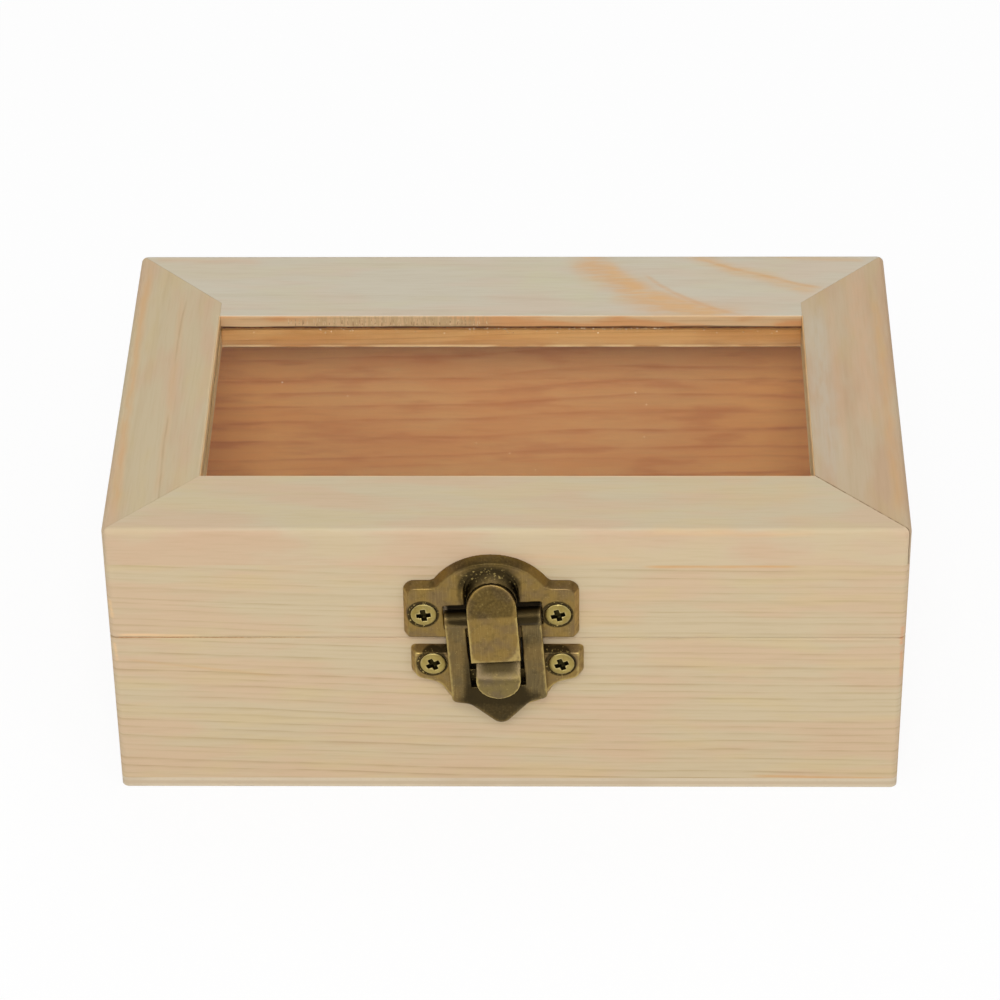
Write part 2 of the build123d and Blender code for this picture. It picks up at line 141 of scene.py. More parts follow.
# Shader graphs
class Graph:
    """Adds nodes to one node tree and links them."""

    def __init__(self, tree: bpy.types.NodeTree) -> None:
        """Keeps the tree that the nodes go into."""
        self.tree = tree

    def add(self, kind: str, inputs: dict[Any, Any] | None = None, **settings: Any) -> bpy.types.Node:
        """Adds a node.

        Args:
            kind: Blender's name of the node type.
            inputs: values or sockets for its inputs, by name or number.
            settings: the node's own properties.

        Returns:
            The new node.
        """
        node = self.tree.nodes.new(kind)
        for key, value in settings.items():
            setattr(node, key, value)
        for key, value in (inputs or {}).items():
            self.feed(node.inputs[key], value)
        return node

    def feed(self, socket: Socket, value: Any) -> None:
        """Links an input to a socket, or sets it to a plain value.

        Args:
            socket: the input.
            value: the socket or the value.
        """
        if isinstance(value, Socket):
            self.tree.links.new(value, socket)
        else:
            socket.default_value = value

    def use(self, group: ShaderGroup, **inputs: Any) -> bpy.types.NodeOutputs:
        """Places a group.

        Args:
            group: the group.
            inputs: its inputs, with _ for a space in a name.

        Returns:
            The group's outputs.
        """
        node = self.add("ShaderNodeGroup", node_tree=group.tree)
        for label, value in inputs.items():
            self.feed(node.inputs[label.replace("_", " ")], value)
        return node.outputs

    def math(self, operation: str, first: Any, second: Any = 0.0, clamp: bool = False) -> Socket:
        """Output of a Math node on one or two values."""
        inputs = {0: first, 1: second}
        return self.add("ShaderNodeMath", inputs, operation=operation, use_clamp=clamp).outputs[0]

    def chain(self, operation: str, first: Any, *others: Any) -> Socket:
        """Output of Math nodes that take in one value after another.

        Args:
            operation: what the nodes do.
            first: the value to start from.
            others: the values that are taken in.

        Returns:
            The last node's output, or the first value where it is the only one.
        """
        for other in others:
            first = self.math(operation, first, other)
        return first

    def times(self, *values: Any) -> Socket:
        """Product of some values."""
        return self.chain("MULTIPLY", *values)

    def plus(self, *values: Any) -> Socket:
        """Sum of some values."""
        return self.chain("ADD", *values)

    def minus(self, first: Any, second: Any) -> Socket:
        """Difference of two values."""
        return self.math("SUBTRACT", first, second)

    def size(self, value: Any) -> Socket:
        """A value without its sign."""
        return self.math("ABSOLUTE", value)

    def from_floor(self, value: Any, floor: float) -> Socket:
        """A value from 0 to 1, squeezed into floor to 1."""
        return self.plus(self.times(value, 1.0 - floor), floor)

    def vector(self, operation: str, first: Any, second: Any = ORIGIN, output: str = "Vector") -> Socket:
        """Output of a Vector Math node."""
        return self.add("ShaderNodeVectorMath", {0: first, 1: second}, operation=operation).outputs[output]

    def dot(self, first: Any, second: Any) -> Socket:
        """Dot product of two vectors."""
        return self.vector("DOT_PRODUCT", first, second, "Value")

    def join(self, **parts: Any) -> Socket:
        """A vector of the parts X, Y and Z, each 0 where it isn't given."""
        return self.add("ShaderNodeCombineXYZ", parts).outputs[0]

    def axes(self, vector: Any) -> tuple[Socket, ...]:
        """The three parts of a vector."""
        return tuple(self.add("ShaderNodeSeparateXYZ", {0: vector}).outputs)

    def smooth(self, value: Any, low: float, high: float) -> Socket:
        """A soft step from 0 at low to 1 at high. With low above high, the step goes down.

        Args:
            value: what the step is taken on.
            low: where the result is 0.
            high: where the result is 1.

        Returns:
            The step.
        """
        start, end, first, last = (low, high, 0.0, 1.0) if low < high else (high, low, 1.0, 0.0)
        inputs = {"Value": value, "From Min": start, "From Max": end, "To Min": first, "To Max": last}
        return self.add("ShaderNodeMapRange", inputs, interpolation_type="SMOOTHSTEP").outputs["Result"]

    def band(self, value: Any, centre: Any, inner: float, outer: float) -> Socket:
        """1 within inner of a centre, and 0 beyond outer."""
        return self.smooth(self.size(self.minus(value, centre)), outer, inner)

    def stretched(self, vector: Any, lengths: Point, detail: float = 2.0) -> Socket:
        """Noise whose features have the given lengths along the three axes."""
        inputs = {"Vector": self.vector("DIVIDE", vector, lengths), "Scale": 1.0, "Detail": detail}
        return self.add("ShaderNodeTexNoise", inputs).outputs["Fac"]

    def over(self, under: Any, colour: Any, *strengths: Any) -> Socket:
        """A colour laid over another, as strongly as the product of some strengths."""
        inputs = {0: self.times(*strengths), 6: under, 7: colour}
        return self.add("ShaderNodeMix", inputs, data_type="RGBA").outputs[2]

    def place(self) -> Socket:
        """The point on the piece in millimetres."""
        return self.vector("MULTIPLY", self.add("ShaderNodeTexCoord").outputs["Object"], (1 / MM,) * 3)

    def turned(self, place: Any, turn: Point) -> Socket:
        """A point turned about the axes, by angles in radians."""
        return self.add("ShaderNodeMapping", {"Vector": place, "Rotation": turn}).outputs["Vector"]

    def facing(self, axis: int) -> Socket:
        """How far the piece's surface faces along an axis."""
        return self.axes(self.add("ShaderNodeTexCoord").outputs["Normal"])[axis]

    def outside(self, place: Any, half_width: float, front: float, back: float) -> Socket:
        """How far a point lies outside a rectangle in plan.

        Args:
            place: the point, in millimetres.
            half_width: where the rectangle ends to either side.
            front: where it ends at the front.
            back: where it ends at the back.

        Returns:
            The distance, below 0 inside the rectangle.
        """
        across, deep, _ = self.axes(place)
        past_side = self.minus(self.size(across), half_width)
        past_end = self.minus(self.size(self.minus(deep, (front + back) / 2)), (back - front) / 2)
        return self.math("MAXIMUM", past_side, past_end)


class NodeGroup:
    """A node group with named inputs and outputs, built once."""

    KINDS = {"float": "NodeSocketFloat", "whole": "NodeSocketInt", "vector": "NodeSocketVector",
             "colour": "NodeSocketColor", "geometry": "NodeSocketGeometry", "finish": "NodeSocketMaterial"}

    def __init__(self, name: str, tree: str, inputs: dict[str, str], outputs: dict[str, str]) -> None:
        """Makes the empty group.

        Args:
            name: the group's name.
            tree: Blender's name of the tree type.
            inputs: names of the inputs of each kind, with commas between them.
            outputs: names of the outputs in the same way.
        """
        self.tree = bpy.data.node_groups.new(name, tree)
        for way, sockets in (("INPUT", inputs), ("OUTPUT", outputs)):
            for kind, labels in sockets.items():
                for label in labels.split(", "):
                    self.tree.interface.new_socket(name=label, in_out=way, socket_type=self.KINDS[kind])
        self.graph = Graph(self.tree)
        self.given = self.tree.nodes.new("NodeGroupInput").outputs


class ShaderGroup(NodeGroup):
    """A group of shader nodes."""

    def __init__(self, name: str, inputs: dict[str, str], outputs: dict[str, str]) -> None:
        """Makes the empty group, with its sockets given as for any group."""
        super().__init__(name, "ShaderNodeTree", inputs, outputs)
        self.result = self.tree.nodes.new("NodeGroupOutput").inputs

    def put(self, label: str, value: Any) -> None:
        """Sets one of the group's outputs."""
        self.graph.feed(self.result[label], value)


def pine_figure_group() -> ShaderGroup:
    """Growth rings, fibre and blotches of pine. The grain runs along X and the rings stack along Z."""
    group = ShaderGroup("pine_figure", {"vector": "Vector", "float": "Ring Spacing, Slope, Bend, Wave, Seed"},
                        {"float": "Rings, Fibre, Blotch, Tint"})
    graph, given = group.graph, group.given
    shift = graph.vector("SCALE", (37.0, 11.0, 53.0))
    graph.feed(shift.node.inputs["Scale"], given["Seed"])
    seeded = graph.vector("ADD", given["Vector"], shift)
    along, _, up = graph.axes(given["Vector"])
    slow = graph.minus(graph.stretched(seeded, (55.0, 60.0, 28.0), 1.0), 0.5)
    quick = graph.minus(graph.stretched(seeded, (15.0, 20.0, 6.0), 1.0), 0.5)
    sway = graph.plus(graph.times(slow, 2.0), graph.times(quick, 0.35))
    lean = graph.plus(given["Slope"], graph.times(along, given["Bend"]))
    height = graph.plus(up, graph.times(along, lean), graph.times(sway, given["Wave"]))
    steps = graph.math("DIVIDE", height, given["Ring Spacing"])
    inputs = {"W": steps, "Scale": 0.31, "Detail": 1.0}
    uneven = graph.add("ShaderNodeTexNoise", inputs, noise_dimensions="1D").outputs["Fac"]
    phase = graph.plus(steps, graph.times(uneven, 2.0))
    part = graph.math("FRACT", phase)
    ring = graph.add("ShaderNodeTexWhiteNoise", {"W": graph.math("FLOOR", phase)}, noise_dimensions="1D")
    strength = graph.from_floor(ring.outputs["Value"], 0.4)
    late = graph.times(graph.math("POWER", part, 4.4), graph.smooth(part, 1.0, 0.86))
    broken = graph.from_floor(graph.smooth(graph.stretched(seeded, (9.0, 5.0, 1.0)), 0.34, 0.66), 0.3)
    group.put("Rings", graph.math("MULTIPLY", graph.times(late, strength, broken), 1.9, clamp=True))
    group.put("Fibre", graph.stretched(seeded, (7.0, 0.45, 0.3), 3.0))
    group.put("Blotch", graph.stretched(seeded, (24.0, 12.0, 5.0), 3.0))
    group.put("Tint", graph.stretched(graph.vector("ADD", seeded, (91.0, 17.0, 43.0)), (17.0, 9.0, 3.6), 3.0))
    return group


def wood_streak_group() -> ShaderGroup:
    """Mask of one band of growth between two places on a face, with a bow and ragged sides."""
    inputs = {"vector": "Vector, Start, End, Facing, Fibre Lengths", "float": "Width, Bow"}
    group = ShaderGroup("wood_streak", inputs, {"float": "Mask"})
    graph, given = group.graph, group.given
    run = graph.vector("SUBTRACT", given["End"], given["Start"])
    heading = graph.vector("NORMALIZE", run)
    across = graph.vector("CROSS_PRODUCT", heading, given["Facing"])
    away = graph.vector("SUBTRACT", given["Vector"], given["Start"])
    share = graph.math("DIVIDE", graph.dot(away, heading), graph.vector("LENGTH", run, output="Value"))
    bow = graph.times(share, graph.minus(1.0, share), 4.0, given["Bow"])
    rough = graph.minus(graph.stretched(given["Vector"], (7.0, 7.0, 7.0)), 0.5)
    side = graph.minus(graph.plus(graph.dot(away, across), graph.times(rough, given["Width"])), bow)
    body = graph.band(graph.math("DIVIDE", side, given["Width"]), 0.0, 0.0, 1.0)
    fibres = graph.smooth(graph.stretched(given["Vector"], given["Fibre Lengths"]), 0.3, 0.6)
    group.put("Mask", graph.times(body, graph.from_floor(fibres, 0.55), graph.smooth(share, -0.04, 0.12),
                                  graph.smooth(share, 1.04, 0.88)))
    return group


def brass_patina_group() -> ShaderGroup:
    """Colour and roughness of antiqued brass: mottled dark plating that is rubbed through at raised edges."""
    inputs = {"vector": "Vector", "float": "Edge, Wear, Brushing, Sparks",
              "colour": "Dark, Middle, Tarnish, Bright"}
    group = ShaderGroup("brass_patina", inputs, {"colour": "Colour", "float": "Roughness, Height"})
    graph, given = group.graph, group.given
    dark, bright, edge = given["Dark"], given["Bright"], given["Edge"]
    cloud = graph.smooth(graph.stretched(given["Vector"], (3.2, 3.2, 3.2), 3.0), 0.36, 0.66)
    grains = graph.stretched(given["Vector"], (0.9, 0.9, 0.9), 3.0)
    fine = graph.stretched(given["Vector"], (0.4, 0.4, 0.4), 3.0)
    brushed = graph.smooth(graph.stretched(given["Vector"], (0.16, 0.16, 3.0), 1.0), 0.45, 0.75)
    body = graph.over(given["Middle"], given["Tarnish"], cloud, 0.8)
    body = graph.over(body, dark, graph.smooth(grains, 0.5, 0.75), 0.28)
    body = graph.over(body, bright, graph.smooth(fine, 0.58, 0.8), 0.35)
    body = graph.over(body, bright, brushed, given["Brushing"])
    hollow = graph.smooth(graph.plus(edge, graph.times(fine, 0.26)), 0.03, -0.57)
    body = graph.over(body, dark, hollow, 0.92)
    caked = graph.times(graph.smooth(edge, -0.55, -0.8), given["Sparks"])
    body = graph.over(body, bright, graph.smooth(fine, 0.58, 0.7), caked)
    raised = graph.plus(edge, graph.times(graph.minus(grains, 0.5), 1.1))
    rubbed = graph.times(graph.smooth(raised, 0.15, 0.9), given["Wear"])
    group.put("Colour", graph.over(body, bright, rubbed))
    rough = graph.plus(0.36, graph.times(fine, 0.18))
    group.put("Roughness", graph.minus(rough, graph.times(rubbed, 0.08)))
    group.put("Height", graph.plus(fine, graph.times(brushed, 0.4)))
    return group


@dataclass
class Groups:
    """The shader groups that the finishes share."""

    pine: ShaderGroup = field(default_factory=pine_figure_group)
    streak: ShaderGroup = field(default_factory=wood_streak_group)
    brass: ShaderGroup = field(default_factory=brass_patina_group)


class Paint:
    """A material in the making: its graph, its Principled shader and the colour laid on so far."""

    def __init__(self, name: str, ground: Any = WHITE) -> None:
        """Makes the material.

        Args:
            name: the material's name.
            ground: the colour that the others are laid over.
        """
        self.material = bpy.data.materials.new(name)
        self.material.use_nodes = True
        self.graph = Graph(self.material.node_tree)
        self.shader = self.graph.tree.nodes["Principled BSDF"]
        self.colour = ground

    def lay(self, colour: Any, *strengths: Any) -> None:
        """Lays a colour over the last one, as strongly as the product of some strengths."""
        self.colour = self.graph.over(self.colour, colour, *strengths)

    def relief(self, height: Any, strength: float, distance: float) -> Socket:
        """Normals bent by a height."""
        inputs = {"Height": height, "Strength": strength, "Distance": distance}
        return self.graph.add("ShaderNodeBump", inputs).outputs["Normal"]

    def finished(self, **inputs: Any) -> bpy.types.Material:
        """Feeds the colour and other inputs to the shader.

        Args:
            inputs: the other inputs, with _ for a space in a name.

        Returns:
            The material.
        """
        for label, value in {"Base_Color": self.colour, **inputs}.items():
            self.graph.feed(self.shader.inputs[label.replace("_", " ")], value)
        return self.material

    def end_in_mix(self, share: Any, first: Socket, second: Socket) -> None:
        """Ends the material in a mix of two shaders."""
        both = self.graph.add("ShaderNodeMixShader", {0: share, 1: first, 2: second})
        self.graph.feed(self.graph.tree.nodes["Material Output"].inputs["Surface"], both.outputs[0])


# Finishes
@dataclass(frozen=True)
class Streak:
    """A band of darker growth on a board, between two places in plan, in millimetres.

    An upright one lies on the front face instead, and its places give x and height.
    """

    start: Pair
    end: Pair
    width: float
    colour: Colour
    strength: float
    bow: float = 0.0
    upright: bool = False

    def spot(self, pair: Pair) -> Point:
        """One end as a point of the box."""
        return (pair[0], FRONT_Y, pair[1]) if self.upright else (*pair, 0.0)

    @property
    def facing(self) -> Point:
        """The way the marked face looks."""
        return (0.0, -1.0, 0.0) if self.upright else (0.0, 0.0, 1.0)


@dataclass(frozen=True)
class Tones:
    """The three ground colours of a board."""

    pale: Colour = shade(202, 184, 150)
    deep: Colour = shade(205, 179, 147)
    golden: Colour = shade(205, 184, 139)


@dataclass(frozen=True)
class Heartwood:
    """The redder wood that shows on a wall's inner face, painted lighter and yellower towards the wall's ends
    as painted light where the frame shades them.
    """

    pale: Colour = shade(228, 171, 112)
    deep: Colour = shade(225, 161, 102)
    line: Colour = shade(200, 118, 68)
    # The next two are painted light: the wall's ends are laid lighter and yellower
    end: Colour = shade(250, 182, 106)
    ends: Pair = (24.0, 56.0)
    ring_spacing: float = 3.4
    slope: float = -0.03
    wave: float = 2.6
    strength: float = 1.0


@dataclass(frozen=True)
class SawnLip:
    """The sawn edge of the window, above and below the pane's groove, in millimetres, with a painted shade
    line along the groove and a painted highlight along the lower arris.
    """

    upper: Colour = shade(226, 204, 164)
    upper_band: Colour = shade(222, 192, 146)
    upper_line: Colour = shade(158, 96, 48)
    lower: Colour = shade(222, 196, 150)
    lower_band: Colour = shade(216, 182, 130)
    lower_line: Colour = shade(160, 98, 46)
    # Colour of the painted shade line along the top of the pane's groove
    groove: Colour = shade(150, 108, 66)
    torn: Colour = shade(206, 180, 140)
    saw_mark: Colour = shade(176, 148, 106)
    # Colour of the painted highlight along the frame's lower arris
    rim: Colour = shade(238, 204, 152)
    ring_spacing: float = 1.35
    slope: float = -0.022
    wave: float = 0.9
    ring_strength: float = 0.15
    saw_marks: float = 0.0
    torn_from: float = -34.0
    torn_to: float = -4.0
    lip_reach: Pair = (0.22, 0.04)
    groove_reach: Pair = (3.2, 2.9)
    arris_highlight_drop: Pair = (6.2, 6.5)


@dataclass(frozen=True)
class LatchShadow:
    """Painted shade on the wood that shows through the slots of the latch plates, in millimetres.

    Each reach is its middle, then how far from there it is full, and how far it fades.
    """

    colour: Colour = shade(36, 30, 20)
    across: Point = (-2.1, 7.4, 7.9)
    up: Point = (SEAM_Z + 0.2, 10.0, 10.4)
    deep: Pair = (FRONT_Y + 0.5, FRONT_Y + 0.2)


@dataclass(frozen=True)
class PineFinish:
    """Bare planed pine, with the figure of one board."""

    name: str
    tones: Tones = Tones()
    line: Colour = shade(164, 136, 92)
    cut: Colour = shade(186, 150, 104)
    cut_line: Colour = shade(150, 104, 62)
    axis: GrainAxis = GrainAxis.ALONG_X
    ring_spacing: float = 1.55
    slope: float = 0.03
    bend: float = 0.0
    wave: float = 1.1
    line_strength: float = 0.5
    tilt: float = 0.0
    seed: float = 0.0
    streaks: tuple[Streak, ...] = ()
    heart: Heartwood | None = None
    lip: SawnLip | None = None
    shadow: LatchShadow | None = None
    front_tint: Colour | None = None

    def material(self, groups: Groups) -> bpy.types.Material:
        """The procedural material of the board.

        Args:
            groups: the shared shader groups.

        Returns:
            The material.
        """
        board = BoardPaint(self, groups)
        for streak in self.streaks:
            board.streak(streak)
        board.end_grain()
        if self.front_tint:
            board.tinted_front(self.front_tint)
        if self.lip:
            board.sawn_lip(self.lip)
        if self.heart:
            board.inner_face(self.heart)
        if self.shadow:
            board.latch_shadow(self.shadow)
        return board.planed()


class BoardPaint(Paint):
    """The material of one board, built up in layers."""

    GOLDEN_SHARE = 0.48
    FIBRE_SHARE = 0.1
    CUT_SHARE = 0.45
    CUT_LINE_SHARE = 0.5
    LIP_SEED_STEP = 3.0
    HEART_SEED_STEP = 7.0
    TORN_SHARE = 0.6
    # Share of the painted highlight along the lower arris
    ARRIS_HIGHLIGHT_SHARE = 0.85
    # Share of the painted shade line along the groove
    GROOVE_SHADE_SHARE = 0.85
    # Share of the painted light at the walls' ends
    PAINTED_END_LIGHT_SHARE = 0.6
    ROUGHNESS = 0.62
    SHINE = 0.25

    def __init__(self, finish: PineFinish, groups: Groups) -> None:
        """Lays the ground colours and the growth rings.

        Args:
            finish: what the board looks like.
            groups: the shared shader groups.
        """
        super().__init__(finish.name, finish.tones.pale)
        self.finish = finish
        self.groups = groups
        graph, tilt = self.graph, math.radians(finish.tilt)
        self.point = graph.place()
        along_x = finish.axis is GrainAxis.ALONG_X
        self.in_grain = graph.turned(self.point, (tilt, 0.0, 0.0) if along_x else (0.0, tilt, -math.pi / 2))
        self.figure = graph.use(groups.pine, Vector=self.in_grain, Ring_Spacing=finish.ring_spacing,
                                Slope=finish.slope, Bend=finish.bend, Wave=finish.wave, Seed=finish.seed)
        self.lay(finish.tones.deep, graph.smooth(self.figure["Blotch"], 0.4, 0.62))
        self.lay(finish.tones.golden, graph.smooth(self.figure["Tint"], 0.48, 0.68), self.GOLDEN_SHARE)
        self.lay(finish.line, self.figure["Rings"], finish.line_strength)

    def streak(self, streak: Streak) -> None:
        """Lays one streak."""
        mask = self.graph.use(self.groups.streak, Vector=self.point, Start=streak.spot(streak.start),
                              End=streak.spot(streak.end), Facing=streak.facing, Width=streak.width,
                              Bow=streak.bow, Fibre_Lengths=self.finish.axis.fibre_lengths)["Mask"]
        self.lay(streak.colour, mask, streak.strength)

    def end_grain(self) -> None:
        """Darkens the ends of the board, where the cut fibres show."""
        cut = self.graph.smooth(self.graph.size(self.graph.facing(self.finish.axis.value)), 0.75, 0.95)
        self.lay(self.finish.cut, cut, self.CUT_SHARE)
        self.lay(self.finish.cut_line, self.figure["Rings"], cut, self.CUT_LINE_SHARE)

    def tinted_front(self, tint: Colour) -> None:
        """Tints the edge of the board that faces the front."""
        graph = self.graph
        share = graph.plus(graph.times(graph.smooth(self.figure["Tint"], 0.62, 0.4), 0.5), 0.25)
        self.lay(tint, graph.smooth(graph.facing(Y), -0.5, -0.9), share)

    def sawn_lip(self, lip: SawnLip) -> None:
        """Lays the sawn edge of the window: warmer, with cross marks, a painted shade line along the groove
        and a painted highlight along the lower arris.

        Args:
            lip: the colours and reaches of the edge.
        """
        graph, point = self.graph, self.point
        across, _, up = graph.axes(point)
        past = graph.outside(point, WINDOW_HALF, WINDOW_FRONT_Y, WINDOW_BACK_Y)
        in_groove = graph.band(up, (PANE_TOP_Z + GROOVE_FLOOR_Z) / 2, 0.3, 0.34)
        groove = graph.times(in_groove, graph.smooth(past, *lip.groove_reach))
        edge_of_window = graph.math("MAXIMUM", graph.smooth(past, *lip.lip_reach), groove)
        marks = graph.smooth(graph.stretched(point, (0.42, 0.42, 5.0)), 0.38, 0.6)
        torn = graph.times(graph.smooth(across, lip.torn_from - 3.0, lip.torn_from + 3.0),
                           graph.smooth(across, lip.torn_to + 4.0, lip.torn_to - 4.0))
        flow = graph.use(self.groups.pine, Vector=point, Ring_Spacing=lip.ring_spacing, Slope=lip.slope,
                         Wave=lip.wave, Seed=self.finish.seed + self.LIP_SEED_STEP)
        upper = graph.over(lip.upper, lip.upper_band, graph.smooth(flow["Tint"], 0.42, 0.58))
        upper = graph.over(upper, lip.upper_line, flow["Rings"], lip.ring_strength)
        upper = graph.over(upper, lip.torn, torn, lip.saw_marks * self.TORN_SHARE)
        upper = graph.over(upper, lip.saw_mark, marks, torn, lip.saw_marks)
        lower = graph.over(lip.lower, lip.lower_band, graph.smooth(flow["Blotch"], 0.42, 0.6))
        lower = graph.over(lower, lip.lower_line, flow["Rings"], lip.ring_strength)
        # Painted highlight along the frame's lower arris, broken up by noise
        rim = graph.smooth(up, *(LID_TOP_Z - drop for drop in lip.arris_highlight_drop))
        worn = graph.smooth(graph.stretched(point, (8.0, 8.0, 60.0)), 0.35, 0.55)
        lower = graph.over(lower, lip.rim, rim, worn, self.ARRIS_HIGHLIGHT_SHARE)
        edge = graph.over(upper, lower, graph.smooth(up, GROOVE_TOP_Z, GROOVE_FLOOR_Z))
        # Painted shade line along the top of the pane's groove
        ripple = graph.times(graph.stretched(point, (9.0, 9.0, 60.0)), 0.5)
        painted_groove_shade = graph.band(up, graph.plus(ripple, GROOVE_TOP_Z - 0.2), 0.05, 0.2)
        edge = graph.over(edge, lip.groove, painted_groove_shade, self.GROOVE_SHADE_SHARE)
        self.lay(graph.over(edge, lip.lower, in_groove), edge_of_window)

    def inner_face(self, heart: Heartwood) -> None:
        """Lays the heartwood on the inner face of a wall.

        Args:
            heart: its colours and figure.
        """
        graph = self.graph
        past = graph.outside(self.point, BOX_HALF - WALL, FRONT_INSIDE_Y, BACK_INSIDE_Y)
        flow = graph.use(self.groups.pine, Vector=self.in_grain, Ring_Spacing=heart.ring_spacing,
                         Slope=heart.slope, Wave=heart.wave, Seed=self.finish.seed + self.HEART_SEED_STEP)
        wood = graph.over(heart.pale, heart.deep, graph.smooth(flow["Blotch"], 0.36, 0.64))
        # Painted light: lighter and yellower towards the wall's ends, which the frame shades
        ends = graph.smooth(graph.size(graph.axes(self.point)[X]), *heart.ends)
        wood = graph.over(wood, heart.end, ends, self.PAINTED_END_LIGHT_SHARE)
        wood = graph.over(wood, heart.line, graph.smooth(flow["Tint"], 0.5, 0.68), 0.4)
        wood = graph.over(wood, heart.line, flow["Rings"], 0.7)
        self.lay(wood, graph.smooth(past, 0.5, 0.1), heart.strength)

    def latch_shadow(self, shadow: LatchShadow) -> None:
        """Paints shade on the wood behind the latch."""
        across, deep, up = self.graph.axes(self.point)
        self.lay(shadow.colour, self.graph.band(across, *shadow.across), self.graph.band(up, *shadow.up),
                 self.graph.smooth(deep, *shadow.deep))

    def planed(self) -> bpy.types.Material:
        """Lays the fine fibre over everything, and gives the material."""
        graph, fibre = self.graph, self.figure["Fibre"]
        self.lay(self.finish.line, graph.smooth(fibre, 0.42, 0.72), self.FIBRE_SHARE)
        height = graph.minus(graph.times(fibre, 0.4), self.figure["Rings"])
        return self.finished(Roughness=self.ROUGHNESS, Specular_IOR_Level=self.SHINE,
                             Normal=self.relief(height, 0.25, 0.06 * MM))


@dataclass(frozen=True)
class PlyFinish:
    """Thin plywood: a pale face, and thin layers at its edge."""

    name: str = "thin_plywood"
    face: Colour = shade(206, 190, 164)
    layer: Colour = shade(190, 170, 142)
    layer_height: float = 0.66

    def material(self, groups: Groups) -> bpy.types.Material:
        """The procedural material of the panel.

        Args:
            groups: the shared shader groups.

        Returns:
            The material.
        """
        paint = Paint(self.name, self.face)
        graph = paint.graph
        point = graph.place()
        figure = graph.use(groups.pine, Vector=graph.turned(point, (math.pi / 2, 0.0, 0.0)), Ring_Spacing=5.0,
                           Slope=0.02, Wave=4.0, Seed=5.0)
        paint.lay(self.layer, figure["Rings"], 0.5)
        core = graph.band(graph.axes(point)[Z], self.layer_height * 1.5, self.layer_height * 0.45,
                          self.layer_height * 0.6)
        paint.lay(self.layer, core, graph.smooth(graph.size(graph.facing(Z)), 0.6, 0.3), 0.6)
        paint.lay(self.layer, graph.smooth(graph.stretched(point, (0.7, 0.7, 0.3)), 0.5, 0.7), 0.2)
        return paint.finished(Roughness=0.7, Specular_IOR_Level=0.2)


@dataclass(frozen=True)
class BrassFinish:
    """Antique brass, from dark plating to rubbed metal."""

    name: str
    dark: Colour = shade(54, 45, 26)
    middle: Colour = shade(146, 119, 65)
    tarnish: Colour = shade(126, 104, 72)
    bright: Colour = shade(206, 180, 110)
    wear: float = 0.7
    brushing: float = 0.1
    sparks: float = 0.0

    def material(self, groups: Groups) -> bpy.types.Material:
        """The procedural material of the metal.

        Args:
            groups: the shared shader groups.

        Returns:
            The material.
        """
        paint = Paint(self.name)
        edge = paint.graph.add("ShaderNodeAttribute", attribute_name=EDGE_AND_SHADE_MARK).outputs["Fac"]
        patina = paint.graph.use(groups.brass, Vector=paint.graph.place(), Edge=edge, Dark=self.dark,
                                 Middle=self.middle, Tarnish=self.tarnish, Bright=self.bright, Wear=self.wear,
                                 Brushing=self.brushing, Sparks=self.sparks)
        paint.colour = patina["Colour"]
        return paint.finished(Roughness=patina["Roughness"], Metallic=1.0,
                              Normal=paint.relief(patina["Height"], 0.3, 0.03 * MM))


@dataclass(frozen=True)
class PaneFinish:
    """Clear sheet that lets the light of the lamps through."""

    name: str = "clear_pane"
    tint: Colour = (0.97, 0.985, 0.975, 1.0)
    refraction: float = 1.46
    roughness: float = 0.02

    def material(self) -> bpy.types.Material:
        """The clear material."""
        paint = Paint(self.name, self.tint)
        lamps = paint.graph.add("ShaderNodeBsdfTransparent", {"Color": self.tint})
        path = paint.graph.add("ShaderNodeLightPath").outputs["Is Shadow Ray"]
        paint.end_in_mix(path, paint.shader.outputs[0], lamps.outputs[0])
        return paint.finished(Roughness=self.roughness, IOR=self.refraction, Transmission_Weight=1.0)


@dataclass(frozen=True)
class DustAndShadeFinish:
    """Pale sawdust, splinters and dried glue, and the dark strip of painted shadow in the back groove."""

    name: str
    pale: Colour = shade(236, 216, 180)
    deep: Colour = shade(198, 160, 112)
    grain: float = 0.8
    roughness: float = 0.8

    def material(self) -> bpy.types.Material:
        """The procedural material of the grains."""
        paint = Paint(self.name, self.pale)
        tone = paint.graph.stretched(paint.graph.place(), (self.grain,) * 3)
        paint.lay(self.deep, paint.graph.smooth(tone, 0.4, 0.6))
        return paint.finished(Roughness=self.roughness)


# Meshes
def link(mesh: bpy.types.Mesh, name: str) -> bpy.types.Object:
    """Puts a mesh into the scene as an object at the origin."""
    piece = bpy.data.objects.new(name, mesh)
    bpy.context.scene.collection.objects.link(piece)
    return piece


def evaluated_mesh(piece: bpy.types.Object) -> bpy.types.Mesh:
    """A plain mesh of a piece with its modifiers applied."""
    graph = bpy.context.evaluated_depsgraph_get()
    return bpy.data.meshes.new_from_object(piece.evaluated_get(graph), depsgraph=graph)


def mesh_of(shell: bmesh.types.BMesh, name: str, scale: float = 1.0) -> bpy.types.Mesh:
    """Turns a shell that is no longer needed into a mesh.

    Args:
        shell: the shell.
        name: the mesh's name.
        scale: what its places are multiplied by.

    Returns:
        The mesh.
    """
    shell.transform(Matrix.Scale(scale, 4))
    mesh = bpy.data.meshes.new(name)
    shell.to_mesh(mesh)
    shell.free()
    return mesh


def merged_copy(source: bpy.types.Mesh) -> bpy.types.Mesh:
    """A copy of a frame mesh in millimetres, with its loose triangles joined up.

    Args:
        source: the frame's mesh, which stays as it is.

    Returns:
        The copy.
    """
    shell = bmesh.new()
    shell.from_mesh(source)
    bmesh.ops.remove_doubles(shell, verts=shell.verts, dist=1e-6)
    return mesh_of(shell, "merged", 1 / MM)


